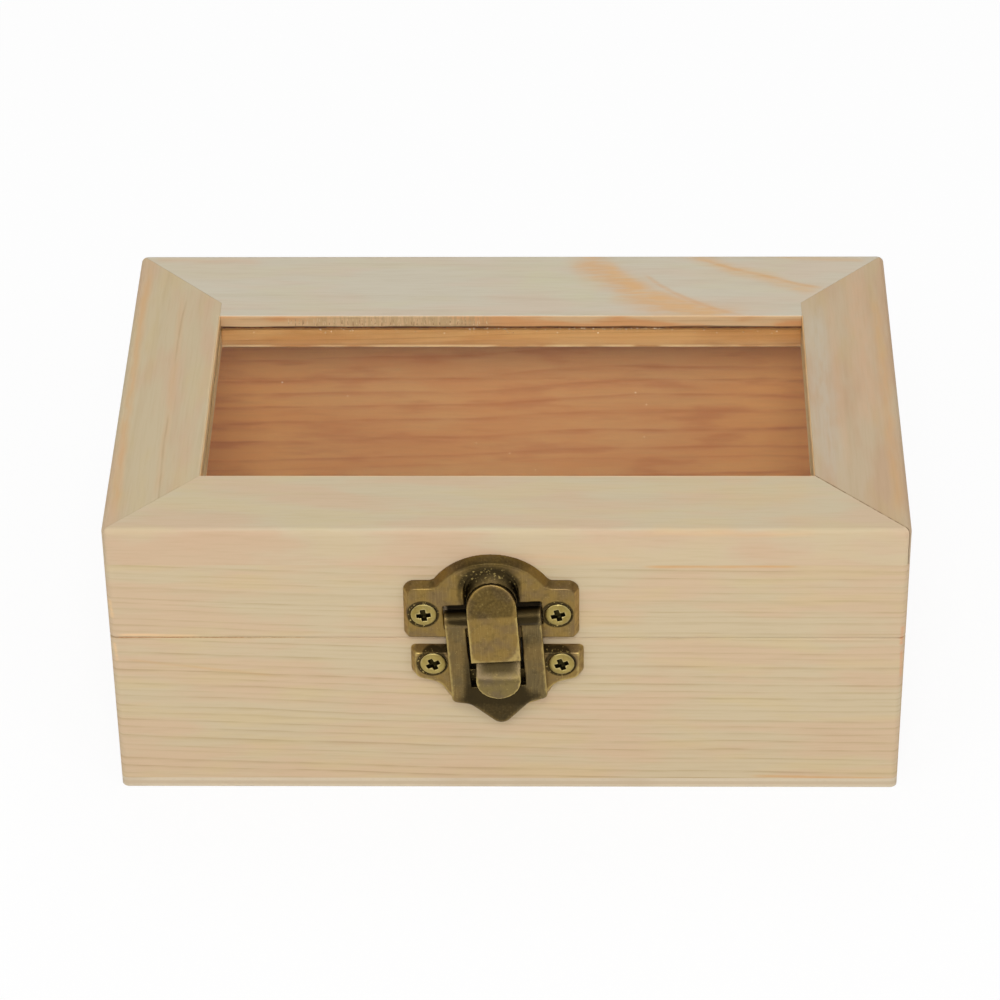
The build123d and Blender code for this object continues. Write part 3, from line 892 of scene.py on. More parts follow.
def flat_sheet(name: str, across: Pair, deep: Pair, height: float) -> bpy.types.Mesh:
    """A level rectangle.

    Args:
        name: the mesh's name.
        across: its lowest and highest x.
        deep: its lowest and highest y.
        height: its z.

    Returns:
        The mesh.
    """
    mesh = bpy.data.meshes.new(name)
    (left, right), (front, back) = across, deep
    corners = [(left, front, height), (right, front, height), (right, back, height), (left, back, height)]
    mesh.from_pydata(corners, [], [(0, 1, 2, 3)])
    return mesh


class Rubbed:
    """Rounds the corners of a closed mesh, as tumbling does, and marks its edges and hollows."""

    SINK = 0.5
    SWELL = -0.51
    BLUR_ROUNDS = 24
    BLUR = 0.6
    MARK_RANGE = 1.1

    def __init__(self, mesh: bpy.types.Mesh, voxel: float, rounds: int = 5) -> None:
        """Remeshes a mesh in millimetres.

        Args:
            mesh: the closed mesh.
            voxel: the size of the new faces.
            rounds: how often the corners are relaxed.
        """
        solid = values_of(mesh.vertices, "co", 3)
        holder = link(mesh, "rubbing")
        remesh = holder.modifiers.new("remesh", "REMESH")
        remesh.mode = "VOXEL"
        remesh.voxel_size = voxel
        self.mesh = evaluated_mesh(holder)
        bpy.data.objects.remove(holder)
        self.points = values_of(self.mesh.vertices, "co", 3)
        self.pairs = values_of(self.mesh.edges, "vertices", 2, int)
        self.valence = np.maximum(np.bincount(self.pairs.ravel(), minlength=len(self.points)), 1)[:, None]
        for _ in range(rounds):
            self.points = self.relaxed(self.points, self.SINK)
            self.points = self.relaxed(self.points, self.SWELL)
        self.points = np.clip(self.points, solid.min(0), solid.max(0))
        self.store()
        self.mark(voxel)

    def relaxed(self, points: np.ndarray, share: float) -> np.ndarray:
        """Moves each point part of the way to the mean of its neighbours.

        Args:
            points: the points.
            share: how much of the way, and away from the mean where it is below 0.

        Returns:
            The moved points.
        """
        total = np.zeros_like(points)
        first, second = self.pairs.T
        for axis in range(3):
            total[:, axis] += np.bincount(first, points[second, axis], len(points))
            total[:, axis] += np.bincount(second, points[first, axis], len(points))
        return points + share * (total / self.valence - points)

    def store(self) -> None:
        """Writes the points back to the mesh."""
        self.mesh.vertices.foreach_set("co", self.points.ravel())
        self.mesh.update()

    def mark(self, voxel: float) -> None:
        """Writes how far each point stands out: above 0 on an edge and below 0 in a hollow.

        Args:
            voxel: the size of the mesh's faces.
        """
        blurred = self.points
        for _ in range(self.BLUR_ROUNDS):
            blurred = self.relaxed(blurred, self.BLUR)
        self.normals = values_of(self.mesh.vertices, "normal", 3)
        stand = np.einsum("ij,ij->i", self.points - blurred, self.normals) / (self.MARK_RANGE * voxel)
        self.mesh.attributes.new(EDGE_AND_SHADE_MARK, "FLOAT", "POINT")
        self.marks = np.clip(stand, -1, 1)

    @property
    def marks(self) -> np.ndarray:
        """The mark of each point."""
        return values_of(self.mesh.attributes[EDGE_AND_SHADE_MARK].data, "value", 1, np.float32).ravel()

    @marks.setter
    def marks(self, marks: np.ndarray) -> None:
        """Writes the mark of each point."""
        self.mesh.attributes[EDGE_AND_SHADE_MARK].data.foreach_set("value", marks.astype(np.float32))

    def tint(self, strength: np.ndarray) -> None:
        """Lowers the marks where a strength from 0 to 1 is given, down to the darkest at 1."""
        strength = np.clip(strength, 0, 1)
        self.marks = self.marks * (1 - strength) - strength

    def polish(self, strength: np.ndarray) -> None:
        """Raises the marks as far up as a strength from 0 to 1, where there is one."""
        self.marks = np.where(strength > 0.02, np.maximum(self.marks, strength), self.marks)

    def dull(self, share: float, rise_limit: float) -> None:
        """Keeps only a share of the raised marks on what lies lower than a rise from the front wall."""
        low = (FRONT_Y - self.points[:, Y] < rise_limit) & (self.marks > 0)
        self.marks = np.where(low, self.marks * share, self.marks)

    def slopes(self, side_painted_light: float, top_painted_shade: float) -> None:
        """Paints light on the slopes that face left or right by raising their marks, and paints shade on
        those that face up by lowering them.
        """
        self.polish(np.clip(np.abs(self.normals[:, X]) * 2.5 - 1.2, 0, 1) * side_painted_light)
        self.tint(np.clip(self.normals[:, Z] * 4.0 - 0.6, 0, 1) * top_painted_shade)

    def piece(self, name: str, finish: bpy.types.Material) -> bpy.types.Object:
        """The mesh as a piece in metres.

        Args:
            name: the piece's name.
            finish: its material.

        Returns:
            The piece.
        """
        self.mesh.transform(TO_METRES)
        self.mesh.shade_smooth()
        self.mesh.materials.clear()
        self.mesh.materials.append(finish)
        self.mesh.name = name
        return link(self.mesh, name)


def settle(piece: bpy.types.Object, body: Body, slot: str, *nodes: str) -> bpy.types.Object:
    """Gives a finished piece its place in the frame.

    Args:
        piece: the piece.
        body: the body that it rides on.
        slot: its material slot; not used.
        nodes: the nodes that it stands for.

    Returns:
        The piece.
    """
    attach(piece, body.value)
    if nodes:
        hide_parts(*nodes)
    log.info("%s on %s: %d faces", piece.name, body.value, len(piece.data.polygons))
    return piece


def dress_node(node: str, finish: bpy.types.Material) -> None:
    """Gives a node of the frame its material.

    Args:
        node: the node's name.
        finish: the material.
    """
    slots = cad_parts[node].data.materials
    slots.clear()
    slots.append(finish)
    log.info("%s wears %s", node, finish.name)


# Geometry Nodes
class GeometryGroup(NodeGroup):
    """A Geometry Nodes tree with named inputs, run once on a mesh."""

    def __init__(self, name: str, inputs: dict[str, str]) -> None:
        """Makes the tree, with a geometry and a finish as its inputs besides those given.

        Args:
            name: the tree's name.
            inputs: names of the inputs of each kind, with commas between them.
        """
        inputs = {"geometry": "Geometry", "finish": "Finish", **inputs}
        super().__init__(name, "GeometryNodeTree", inputs, {"geometry": "Geometry"})

    def line(self, count: Any, spacing: Any) -> Socket:
        """A row of points along X about the origin.

        Args:
            count: how many points.
            spacing: the distance between two of them.

        Returns:
            The points.
        """
        graph = self.graph
        start = graph.join(X=graph.times(graph.minus(count, 1.0), spacing, -0.5))
        inputs = {"Count": count, "Start Location": start, "Offset": graph.join(X=spacing)}
        return graph.add("GeometryNodeMeshLine", inputs).outputs[0]

    def random(self, seed_step: float, low: Any, high: Any) -> Socket:
        """A random value for each point.

        Args:
            seed_step: what is added to the tree's seed.
            low: the lowest value.
            high: the highest value.

        Returns:
            The value.
        """
        inputs = {"Seed": self.graph.plus(self.given["Seed"], seed_step), 2: low, 3: high}
        return self.graph.add("FunctionNodeRandomValue", inputs, data_type="FLOAT").outputs[1]

    def close(self, points: Socket, instance: Socket, **inputs: Any) -> None:
        """Ends the tree: instances on the points are made real and get the finish.

        Args:
            points: where the instances go.
            instance: what stands on each point.
            inputs: the instances' Rotation and Scale.
        """
        inputs = {"Points": points, "Instance": instance, **inputs}
        placed = self.graph.add("GeometryNodeInstanceOnPoints", inputs)
        real = self.graph.add("GeometryNodeRealizeInstances", {0: placed.outputs[0]})
        inputs = {"Geometry": real.outputs[0], "Material": self.given["Finish"]}
        dressed = self.graph.add("GeometryNodeSetMaterial", inputs)
        self.graph.add("NodeGroupOutput", {0: dressed.outputs[0]})

    def run(self, mesh: bpy.types.Mesh, name: str, values: dict[str, Any]) -> bpy.types.Object:
        """Runs the tree on a mesh.

        Args:
            mesh: the mesh that goes in.
            name: the name of the piece.
            values: the tree's inputs, by name.

        Returns:
            A plain piece with what the tree made.
        """
        holder = link(mesh, name + "_source")
        modifier = holder.modifiers.new(self.tree.name, "NODES")
        modifier.node_group = self.tree
        for item in self.tree.interface.items_tree:
            if item.in_out == "INPUT" and item.name in values:
                modifier[item.identifier] = values[item.name]
        made = evaluated_mesh(holder)
        bpy.data.objects.remove(holder)
        made.name = name
        return link(made, name)


def screw_rows_tree() -> GeometryGroup:
    """Screws in rows: one row for each plate, each screw turned a little further than the last."""
    group = GeometryGroup("screw_rows", {
        "whole": "Plates, Screws", "float": "Plate Spacing, Screw Spacing, First Turn, Turn Step",
    })
    graph, given = group.graph, group.given
    plates = group.line(given["Plates"], given["Plate Spacing"])
    row = group.line(given["Screws"], given["Screw Spacing"])
    rows = graph.add("GeometryNodeInstanceOnPoints", {"Points": plates, "Instance": row})
    spots = graph.add("GeometryNodeRealizeInstances", {0: rows.outputs[0]}).outputs[0]
    index = graph.add("GeometryNodeInputIndex").outputs[0]
    turn = graph.plus(graph.times(index, given["Turn Step"]), given["First Turn"])
    group.close(spots, given["Geometry"], Rotation=graph.join(Z=graph.math("RADIANS", turn)))
    return group


def grains_tree() -> GeometryGroup:
    """Small grains scattered over a surface."""
    group = GeometryGroup("scattered_grains", {"float": "Density, Smallest, Largest", "whole": "Seed"})
    graph, given = group.graph, group.given
    inputs = {"Mesh": given["Geometry"], "Density": given["Density"], "Seed": given["Seed"]}
    spread = graph.add("GeometryNodeDistributePointsOnFaces", inputs)
    grain = graph.add("GeometryNodeMeshIcoSphere", {"Radius": 1.0, "Subdivisions": 1})
    least, most = ({axis: given[label] for axis in "XYZ"} for label in ("Smallest", "Largest"))
    inputs = {"Seed": given["Seed"], 0: graph.join(**least), 1: graph.join(**most)}
    size = graph.add("FunctionNodeRandomValue", inputs, data_type="FLOAT_VECTOR")
    group.close(spread.outputs["Points"], grain.outputs[0], Rotation=spread.outputs["Rotation"],
                Scale=size.outputs[0])
    return group


def splinters_tree() -> GeometryGroup:
    """A row of torn fibres along X, each with its own height, lean and place."""
    inputs = {"whole": "Count, Seed", "float": "Spacing, Jitter, Shortest, Longest, Lean"}
    group = GeometryGroup("torn_fibres", inputs)
    graph, given = group.graph, group.given
    shift = group.random(0.0, graph.times(given["Jitter"], -1.0), given["Jitter"])
    length = group.random(1.0, given["Shortest"], given["Longest"])
    lean = group.random(2.0, graph.times(given["Lean"], -1.0), given["Lean"])
    line = group.line(given["Count"], given["Spacing"])
    moved = graph.add("GeometryNodeSetPosition", {"Geometry": line, "Offset": graph.join(X=shift)}).outputs[0]
    size = graph.join(X=1.0, Y=1.0, Z=length)
    group.close(moved, given["Geometry"], Rotation=graph.join(Y=lean), Scale=size)
    return group


@dataclass(frozen=True)
class Filler:
    """A thin strip of dried glue or torn grain that lies in a joint, in millimetres."""

    name: str
    start: Pair
    end: Pair
    width: float
    bottom: float
    top: float

    def build(self, body: Body, finish: bpy.types.Material, slot: str) -> None:
        """Makes the strip as a piece.

        Args:
            body: the body that it rides on.
            finish: its material.
            slot: its material slot.
        """
        run = Vector((*self.end, 0)) - Vector((*self.start, 0))
        side = run.cross(Vector((0, 0, 1))).normalized() * self.width / 2
        corners = [Vector((*spot, 0)) + side * way for spot, way in
                   ((self.start, -1), (self.end, -1), (self.end, 1), (self.start, 1))]
        strip = bmesh.new()
        bottom, top = ([strip.verts.new((*corner.xy, height)) for corner in corners]
                       for height in (self.bottom, self.top))
        strip.faces.new(bottom)
        strip.faces.new(top[::-1])
        for here in range(4):
            after = (here + 1) % 4
            strip.faces.new((bottom[after], bottom[here], top[here], top[after]))
        bmesh.ops.recalc_face_normals(strip, faces=strip.faces)
        mesh = mesh_of(strip, self.name, MM)
        mesh.materials.append(finish)
        settle(link(mesh, self.name), body, slot)


# The box
@dataclass
class WoodenBox:
    """The walls of the base and the lid, and the bottom panel, as they stand in the frame."""

    groups: Groups
    seam_below: float = 0.1
    seam_above: float = 0.05
    torn_above: float = 0.02
    fuzz_depth: float = 1.6
    front_sink: float = 0.12
    back_sink: float = 0.04

    def dress(self) -> None:
        """Gives each board its own figure."""
        orange, chip, peach = shade(206, 160, 106), shade(212, 150, 110), shade(226, 190, 144)
        marks = (
            ((22.0, 46.7), (47.0, 46.75), 0.5, orange, 0.8),
            ((40.0, 2.5), (64.0, 2.0), 0.5, orange, 0.7),
            ((-64.0, SEAM_Z + 0.55), (-50.0, SEAM_Z + 0.4), 0.5, peach, 0.9),
            ((64.5, 34.5), (64.3, 30.5), 0.5, chip, 0.7),
            ((64.4, 29.5), (64.5, 23.5), 0.4, chip, 0.6),
            ((-64.5, 40.0), (-64.2, 36.0), 0.6, peach, 0.8),
            ((-64.4, 31.0), (-64.1, 27.0), 0.5, peach, 0.7),
            ((-63.0, 27.5), (-38.0, 24.0), 0.45, orange, 0.3),
        )
        streaks = tuple(Streak(*mark, upright=True) for mark in marks)
        front_tones = Tones(shade(200, 182, 149), shade(203, 177, 145), shade(203, 182, 138))
        faint = Heartwood(strength=0.6)
        boards = {
            "front": {"tones": front_tones, "slope": 0.026, "bend": -0.0002, "seed": 1.0, "heart": faint,
                      "shadow": LatchShadow(), "streaks": streaks},
            "back": {"slope": -0.02, "seed": 4.0, "heart": Heartwood()},
            "left": {"axis": GrainAxis.ALONG_Y, "slope": 0.015, "seed": 6.0, "heart": faint},
            "right": {"axis": GrainAxis.ALONG_Y, "slope": -0.02, "seed": 8.0, "heart": faint},
        }
        finishes = {side: PineFinish(f"pine_{side}_boards", **board).material(self.groups)
                    for side, board in boards.items()}
        for side, finish in finishes.items():
            for level in ("base", "lid"):
                dress_node(f"{level}_{side}_wall", finish)
        dress_node("bottom_panel", PlyFinish().material(self.groups))
        self.fill_seam(finishes["front"], finishes["back"])

    def fill_seam(self, front: bpy.types.Material, back: bpy.types.Material) -> None:
        """Lays the torn grain that the saw left along the seam, at the front and inside the back wall.

        Args:
            front: the material of the front boards.
            back: the material of the back boards.
        """
        outer = FRONT_Y + self.front_sink + self.fuzz_depth / 2
        inner = BACK_INSIDE_Y + self.back_sink + self.fuzz_depth / 2
        bottom = SEAM_Z - self.seam_below
        torn = DustAndShadeFinish("torn_seam", shade(196, 152, 106), shade(180, 134, 88)).material()
        worn = DustAndShadeFinish("worn_seam", shade(196, 160, 118), shade(182, 146, 102)).material()
        pale = DustAndShadeFinish("pale_seam", shade(200, 172, 134), shade(190, 160, 120)).material()
        for name, start, end, y, above, finish in (
            ("front_seam_grain", -33.0, 63.5, outer, self.seam_above, front),
            ("left_torn_seam", -63.5, -53.0, outer, self.torn_above, torn),
            ("middle_torn_seam", -52.98, -43.0, outer, self.torn_above, worn),
            ("right_torn_seam", -42.98, -33.02, outer, self.torn_above, pale),
            ("back_seam_grain", -57.8, 57.8, inner, self.seam_above, back),
        ):
            strip = Filler(name, (start, y), (end, y), self.fuzz_depth, bottom, SEAM_Z + above)
            strip.build(Body.BASE, finish, "wall_pine")


@dataclass
class LidFrame:
    """The mitred frame round the window, its sawn lip, and what lies in its mitres and its groove."""

    groups: Groups
    fibre_from_x: float = -39.0
    fibre_to_x: float = -4.0
    fibre_spacing: float = 0.62
    fibre_radius: float = 0.11
    fibre_lean: float = 0.22
    lip_height: float = LID_TOP_Z - PANE_TOP_Z
    glue_width: float = 0.055
    glue_sink: float = 0.03
    bead_width: float = 0.5
    bead_play: float = 0.02

    def dress(self) -> None:
        """Gives each piece of the frame its own figure."""
        # The pale edge colour paints a highlight along the window's edges
        orange, pink, arris_highlight, thin = (shade(208, 160, 106), shade(206, 168, 134), shade(224, 198, 154),
                                     shade(160, 130, 96))
        # The side lips are painted lighter and warmer than the wood, painted light on faces that the window's
        # recess shades, with a paler groove line
        side_lip_with_painted_light = SawnLip(upper=shade(236, 198, 146), upper_band=shade(230, 184, 126),
                           groove=shade(190, 142, 92))
        # The back lip's groove colour paints a dark shade line along the groove
        back_lip = SawnLip(upper=shade(214, 178, 134), upper_band=shade(212, 156, 104),
                           lower=shade(216, 164, 104), lower_band=shade(202, 144, 84),
                           groove=shade(84, 48, 24), ring_strength=0.55, saw_marks=0.5)
        quiet = {"ring_spacing": 4.5, "line_strength": 0.14, "tilt": 68.0}
        warm = Tones(shade(201, 186, 156), shade(204, 180, 150), shade(203, 186, 146))
        grey = Tones(shade(201, 192, 172), shade(203, 188, 167), shade(201, 192, 164))
        cool = Tones(shade(196, 179, 147), shade(198, 171, 140), shade(198, 178, 136))
        tan = Tones(shade(193, 172, 142), shade(191, 162, 131), shade(194, 169, 127))
        tint = shade(202, 171, 139)
        front = PineFinish("pine_front_rail", warm, seed=11.0, lip=side_lip_with_painted_light, front_tint=tint, streaks=(
            Streak((-50.0, -25.3), (50.0, -25.3), 0.4, arris_highlight, 0.6),
            Streak((20.0, 53.2), (50.0, 53.4), 0.9, shade(214, 178, 130), 0.6, upright=True),
            Streak((-6.0, 49.0), (22.0, 48.2), 1.0, shade(214, 178, 136), 0.4, upright=True),
        ), **quiet)
        back = PineFinish("pine_back_rail", grey, seed=12.0, lip=back_lip, streaks=(
            Streak((12.0, 41.5), (39.0, 20.0), 6.2, shade(210, 170, 127), 0.9, 4.6),
            Streak((16.5, 38.0), (36.5, 22.2), 2.6, shade(217, 171, 116), 0.55, 3.6),
            Streak((23.0, 34.0), (40.0, 21.0), 0.8, shade(208, 156, 106), 0.4, 1.6),
            Streak((30.5, 40.2), (53.5, 28.4), 2.5, shade(212, 172, 124), 0.6, 0.6),
            Streak((33.0, 38.4), (54.0, 29.4), 0.7, orange, 0.5, 0.4),
            Streak((46.0, 39.3), (62.0, 38.2), 1.1, shade(210, 176, 136), 0.5, 0.2),
            Streak((2.0, 33.0), (15.0, 27.0), 6.5, shade(202, 197, 158), 0.3),
            Streak((-63.0, 38.6), (-44.0, 38.0), 1.6, shade(208, 178, 148), 0.5),
        ), **quiet)
        left = PineFinish("pine_left_stile", cool, axis=GrainAxis.ALONG_Y, seed=13.0, lip=side_lip_with_painted_light, streaks=(
            Streak((-50.25, -25.0), (-50.25, 21.0), 0.35, arris_highlight, 0.5),
            Streak((-63.2, 38.0), (-63.2, -37.0), 1.3, orange, 0.5, 0.3),
            Streak((-57.0, 28.0), (-56.9, -32.0), 1.1, shade(204, 168, 128), 0.45, -0.4),
            Streak((-56.2, 26.0), (-56.6, 6.0), 0.3, thin, 0.35, 0.2),
            Streak((-56.6, -8.0), (-56.2, -34.0), 0.3, thin, 0.35, 0.2),
        ), **quiet)
        right = PineFinish("pine_right_stile", tan, axis=GrainAxis.ALONG_Y, seed=14.0, lip=side_lip_with_painted_light, streaks=(
            Streak((52.4, 24.0), (52.8, -27.0), 3.4, shade(193, 183, 163), 0.6),
            Streak((59.0, 38.0), (60.4, -12.0), 3.4, pink, 0.5),
            Streak((62.8, 28.0), (63.2, -37.0), 1.5, orange, 0.4),
            Streak((55.0, 26.0), (55.5, -24.0), 1.4, pink, 0.3),
        ), **quiet)
        for finish in (front, back, left, right):
            dress_node(finish.name.replace("pine", "frame"), finish.material(self.groups))

    def fill_mitres(self) -> None:
        """Lays the dried glue in the tight mitres."""
        glue = DustAndShadeFinish("mitre_glue", shade(186, 170, 142), shade(180, 158, 128)).material()
        dark_glue = DustAndShadeFinish("open_mitre", shade(180, 156, 122), shade(140, 112, 80)).material()
        tight = (self.glue_width, self.glue_sink, glue)
        for name, start, end, (width, sink, finish) in (
            ("back_left", (-64.0, 39.0), (-50.0, 25.0), tight),
            ("back_left_end", (-50.0, 24.95), (-50.0, 21.3), tight),
            ("back_right", (64.0, 39.0), (50.0, 25.0), tight),
            ("back_right_end", (50.0, 24.95), (50.0, 21.3), tight),
            ("front_left", (-64.0, -39.0), (-50.3, -25.3), tight),
            ("front_right", (64.0, -39.0), (50.3, -25.3), (0.2, 0.05, dark_glue)),
        ):
            strip = Filler(f"{name}_mitre_glue", start, end, width, GROOVE_TOP_Z + 0.1, LID_TOP_Z - sink)
            strip.build(Body.LID, finish, "frame_pine")

    def fill_groove(self) -> None:
        """Lays the shadow in the groove at the back, and the glazing beads in the others."""
        # A dark strip of painted shadow lies in the back groove
        painted_groove_shade = DustAndShadeFinish("groove_shadow", shade(120, 74, 40), shade(84, 46, 24)).material()
        bead = DustAndShadeFinish("glazing_bead", shade(222, 180, 126), shade(212, 166, 110)).material()
        side, front, back = WINDOW_HALF + 0.35, WINDOW_FRONT_Y - 0.35, WINDOW_BACK_Y + 0.3
        for name, start, end, finish in (
            ("back_groove_shadow", (-WINDOW_HALF, back), (WINDOW_HALF, back), painted_groove_shade),
            ("left_glazing_bead", (-side, front), (-side, WINDOW_BACK_Y), bead),
            ("right_glazing_bead", (side, front), (side, WINDOW_BACK_Y), bead),
            ("front_glazing_bead", (-side + 0.3, front), (side - 0.3, front), bead),
        ):
            strip = Filler(name, start, end, self.bead_width, PANE_TOP_Z + self.bead_play,
                           GROOVE_TOP_Z - self.bead_play)
            strip.build(Body.LID, finish, "frame_pine")

    def fibres(self, finish: bpy.types.Material) -> None:
        """Stands the torn fibres on the sawn lip of the back rail.

        Args:
            finish: their material.
        """
        sliver = bmesh.new()
        bmesh.ops.create_cone(sliver, cap_ends=True, segments=5, radius1=self.fibre_radius,
                              radius2=self.fibre_radius * 0.3, depth=1.0)
        piece = splinters_tree().run(mesh_of(sliver, "sliver"), "lip_fibres", {
            "Count": int((self.fibre_to_x - self.fibre_from_x) / self.fibre_spacing), "Seed": 3,
            "Spacing": self.fibre_spacing, "Jitter": self.fibre_spacing * 0.6, "Lean": self.fibre_lean,
            "Shortest": 0.6, "Longest": self.lip_height * 0.7, "Finish": finish,
        })
        across = (self.fibre_from_x + self.fibre_to_x) / 2
        middle = (across, WINDOW_BACK_Y, LID_TOP_Z - self.lip_height * 0.48)
        piece.data.transform(TO_METRES @ Matrix.Translation(middle))
        settle(piece, Body.LID, "frame_pine")


@dataclass
class Pane:
    """The clear pane, and the dust that lies on it."""

    strip_depth: float = 1.6
    grain_small: float = 0.05
    grain_large: float = 0.19

    def dress(self) -> None:
        """Makes the pane clear, and dusts it."""
        dress_node("window_pane", PaneFinish().material())
        finish = DustAndShadeFinish("sawdust").material()
        for name, across, deep, density, seed in (
            ("groove_dust", (-46.0, 48.0), (WINDOW_BACK_Y - self.strip_depth, WINDOW_BACK_Y), 0.3, 2),
            ("lip_chips", (-8.0, 27.0), (WINDOW_BACK_Y - 0.25, WINDOW_BACK_Y), 5.0, 4),
            ("pane_dust", (-48.0, 48.0), (WINDOW_FRONT_Y + 1.0, WINDOW_BACK_Y - 3.0), 0.003, 9),
        ):
            piece = grains_tree().run(flat_sheet(name, across, deep, PANE_TOP_Z), name, {
                "Density": density, "Smallest": self.grain_small, "Largest": self.grain_large, "Seed": seed,
                "Finish": finish,
            })
            piece.data.transform(TO_METRES)
            settle(piece, Body.LID, "frame_pine")


# Brass
@dataclass(frozen=True)
class ScrewShape:
    """A raised countersunk screw with a cross recess, in millimetres. Its rim lies at the origin's height."""

    head_radius: float
    dome: float
    shank_radius: float
    shank_length: float
    cross_span: float
    cross_width: float
    cross_depth: float
    voxel: float
    segments: int = 48
    dome_steps: int = 8

    def profile(self) -> list[Pair]:
        """Half of the section, from the top of the dome to the point."""
        angles = [step * math.pi / 2 / self.dome_steps for step in range(self.dome_steps + 1)]
        dome = [(self.head_radius * math.sin(angle), self.dome * math.cos(angle)) for angle in angles]
        rim = self.head_radius - self.shank_radius
        tail = self.shank_length + self.shank_radius
        return [*dome, (self.shank_radius, -rim), (self.shank_radius, -self.shank_length), (0.0, -tail)]

    def blank(self) -> bpy.types.Mesh:
        """The screw before its cross is cut."""
        turned = bmesh.new()
        points = [turned.verts.new((radius, 0.0, height)) for radius, height in self.profile()]
        edges = [turned.edges.new(pair) for pair in zip(points, points[1:])]
        bmesh.ops.spin(turned, geom=points + edges, cent=(0, 0, 0), axis=(0, 0, 1), angle=math.tau,
                       steps=self.segments, use_duplicate=False)
        bmesh.ops.remove_doubles(turned, verts=turned.verts, dist=1e-4)
        bmesh.ops.recalc_face_normals(turned, faces=turned.faces)
        return mesh_of(turned, "screw_blank")

    def cutter(self) -> bpy.types.Mesh:
        """Two tapered bars that cut the cross."""
        cross = bmesh.new()
        floor, top = self.dome - self.cross_depth, self.dome * 3
        for turn in (0.0, math.pi / 2):
            for corner in bmesh.ops.create_cube(cross, size=1.0)["verts"]:
                low = corner.co.z < 0
                span = self.cross_span * (0.7 if low else 1.15)
                width = self.cross_width * (0.85 if low else 1.15)
                corner.co = Vector((corner.co.x * span, corner.co.y * width, floor if low else top))
                corner.co.rotate(Euler((0, 0, turn)))
        return mesh_of(cross, "cross_cutter")

    def mesh(self) -> bpy.types.Mesh:
        """The finished screw, with its corners rubbed."""
        screw, cutter = link(self.blank(), "screw_blank"), link(self.cutter(), "cross_cutter")
        cut = screw.modifiers.new("cross", "BOOLEAN")
        cut.operation, cut.object, cut.solver, cut.use_self = "DIFFERENCE", cutter, "EXACT", True
        made = evaluated_mesh(screw)
        for helper in (screw, cutter):
            bpy.data.objects.remove(helper)
        rubbed = Rubbed(made, self.voxel, 3)
        away = np.hypot(rubbed.points[:, X], rubbed.points[:, Y])
        surface = self.dome * np.sqrt(np.clip(1 - (away / self.head_radius) ** 2, 0, 1))
        rubbed.tint(np.where(away < self.head_radius * 0.85, (surface - rubbed.points[:, Z] - 0.06) * 9, 0))
        return rubbed.mesh


@dataclass(frozen=True)
class ScrewRows:
    """Rows of two screws on the front or the back, in millimetres and degrees."""

    name: str
    node: str
    body: Body
    middle: Point
    spacing: float
    first_turn: float
    turn_step: float
    outward: int
    way: int = 1
    plates: int = 1
    plate_spacing: float = 0.0

    def build(self, tree: GeometryGroup, shape: ScrewShape, finish: bpy.types.Material) -> None:
        """Turns the screws in.

        Args:
            tree: the tree that sets them out.
            shape: the shape of each.
            finish: their material.
        """
        piece = tree.run(shape.mesh(), self.name, {
            "Plates": self.plates, "Plate Spacing": self.plate_spacing, "Screws": 2,
            "Screw Spacing": self.spacing, "First Turn": self.first_turn, "Turn Step": self.turn_step,
            "Finish": finish,
        })
        facing = Matrix(((-self.way * self.outward, 0, 0), (0, 0, self.outward), (0, self.way, 0))).to_4x4()
        piece.data.transform(TO_METRES @ Matrix.Translation(self.middle) @ facing)
        piece.data.shade_smooth()
        settle(piece, self.body, "screws", self.node)


@dataclass(frozen=True)
class GrimeAndShade:
    """A darkened oval on a part of the front, up to a rise from the wood, in millimetres: dark plating in
    some places and painted shade in others.

    With polish_from it is a part made bright instead, from that rise up: rubbed metal, and on the tongue's
    bottom edge also a painted highlight.
    """

    across: float
    height: float
    half_width: float
    half_height: float
    strength: float = 1.0
    hole: float = 0.0
    rise_limit: float = 99.0
    softness: float = 0.35
    power: float = 6.0
    polish_from: float | None = None
    rise_softness: float = 0.2

    def strength_at(self, points: np.ndarray) -> np.ndarray:
        """How strongly it changes each point.

        Args:
            points: the points, in millimetres.

        Returns:
            A strength from 0 to 1 for each.
        """
        across = np.abs(points[:, X] - self.across) / self.half_width
        height = np.abs(points[:, Z] - SEAM_Z - self.height) / self.half_height
        reach_out = (across ** self.power + height ** self.power) ** (1 / self.power)
        size = min(self.half_width, self.half_height)
        strength = self.strength * np.clip((1 - reach_out) * size / self.softness, 0, 1)
        if self.hole:
            strength = strength * np.clip((reach_out - self.hole) * size / self.softness, 0, 1)
        rise = FRONT_Y - points[:, Y]
        if self.polish_from is not None:
            strength = strength * np.clip((rise - self.polish_from) / self.rise_softness, 0, 1)
        return strength * np.clip((self.rise_limit - rise) / self.rise_softness, 0, 1)


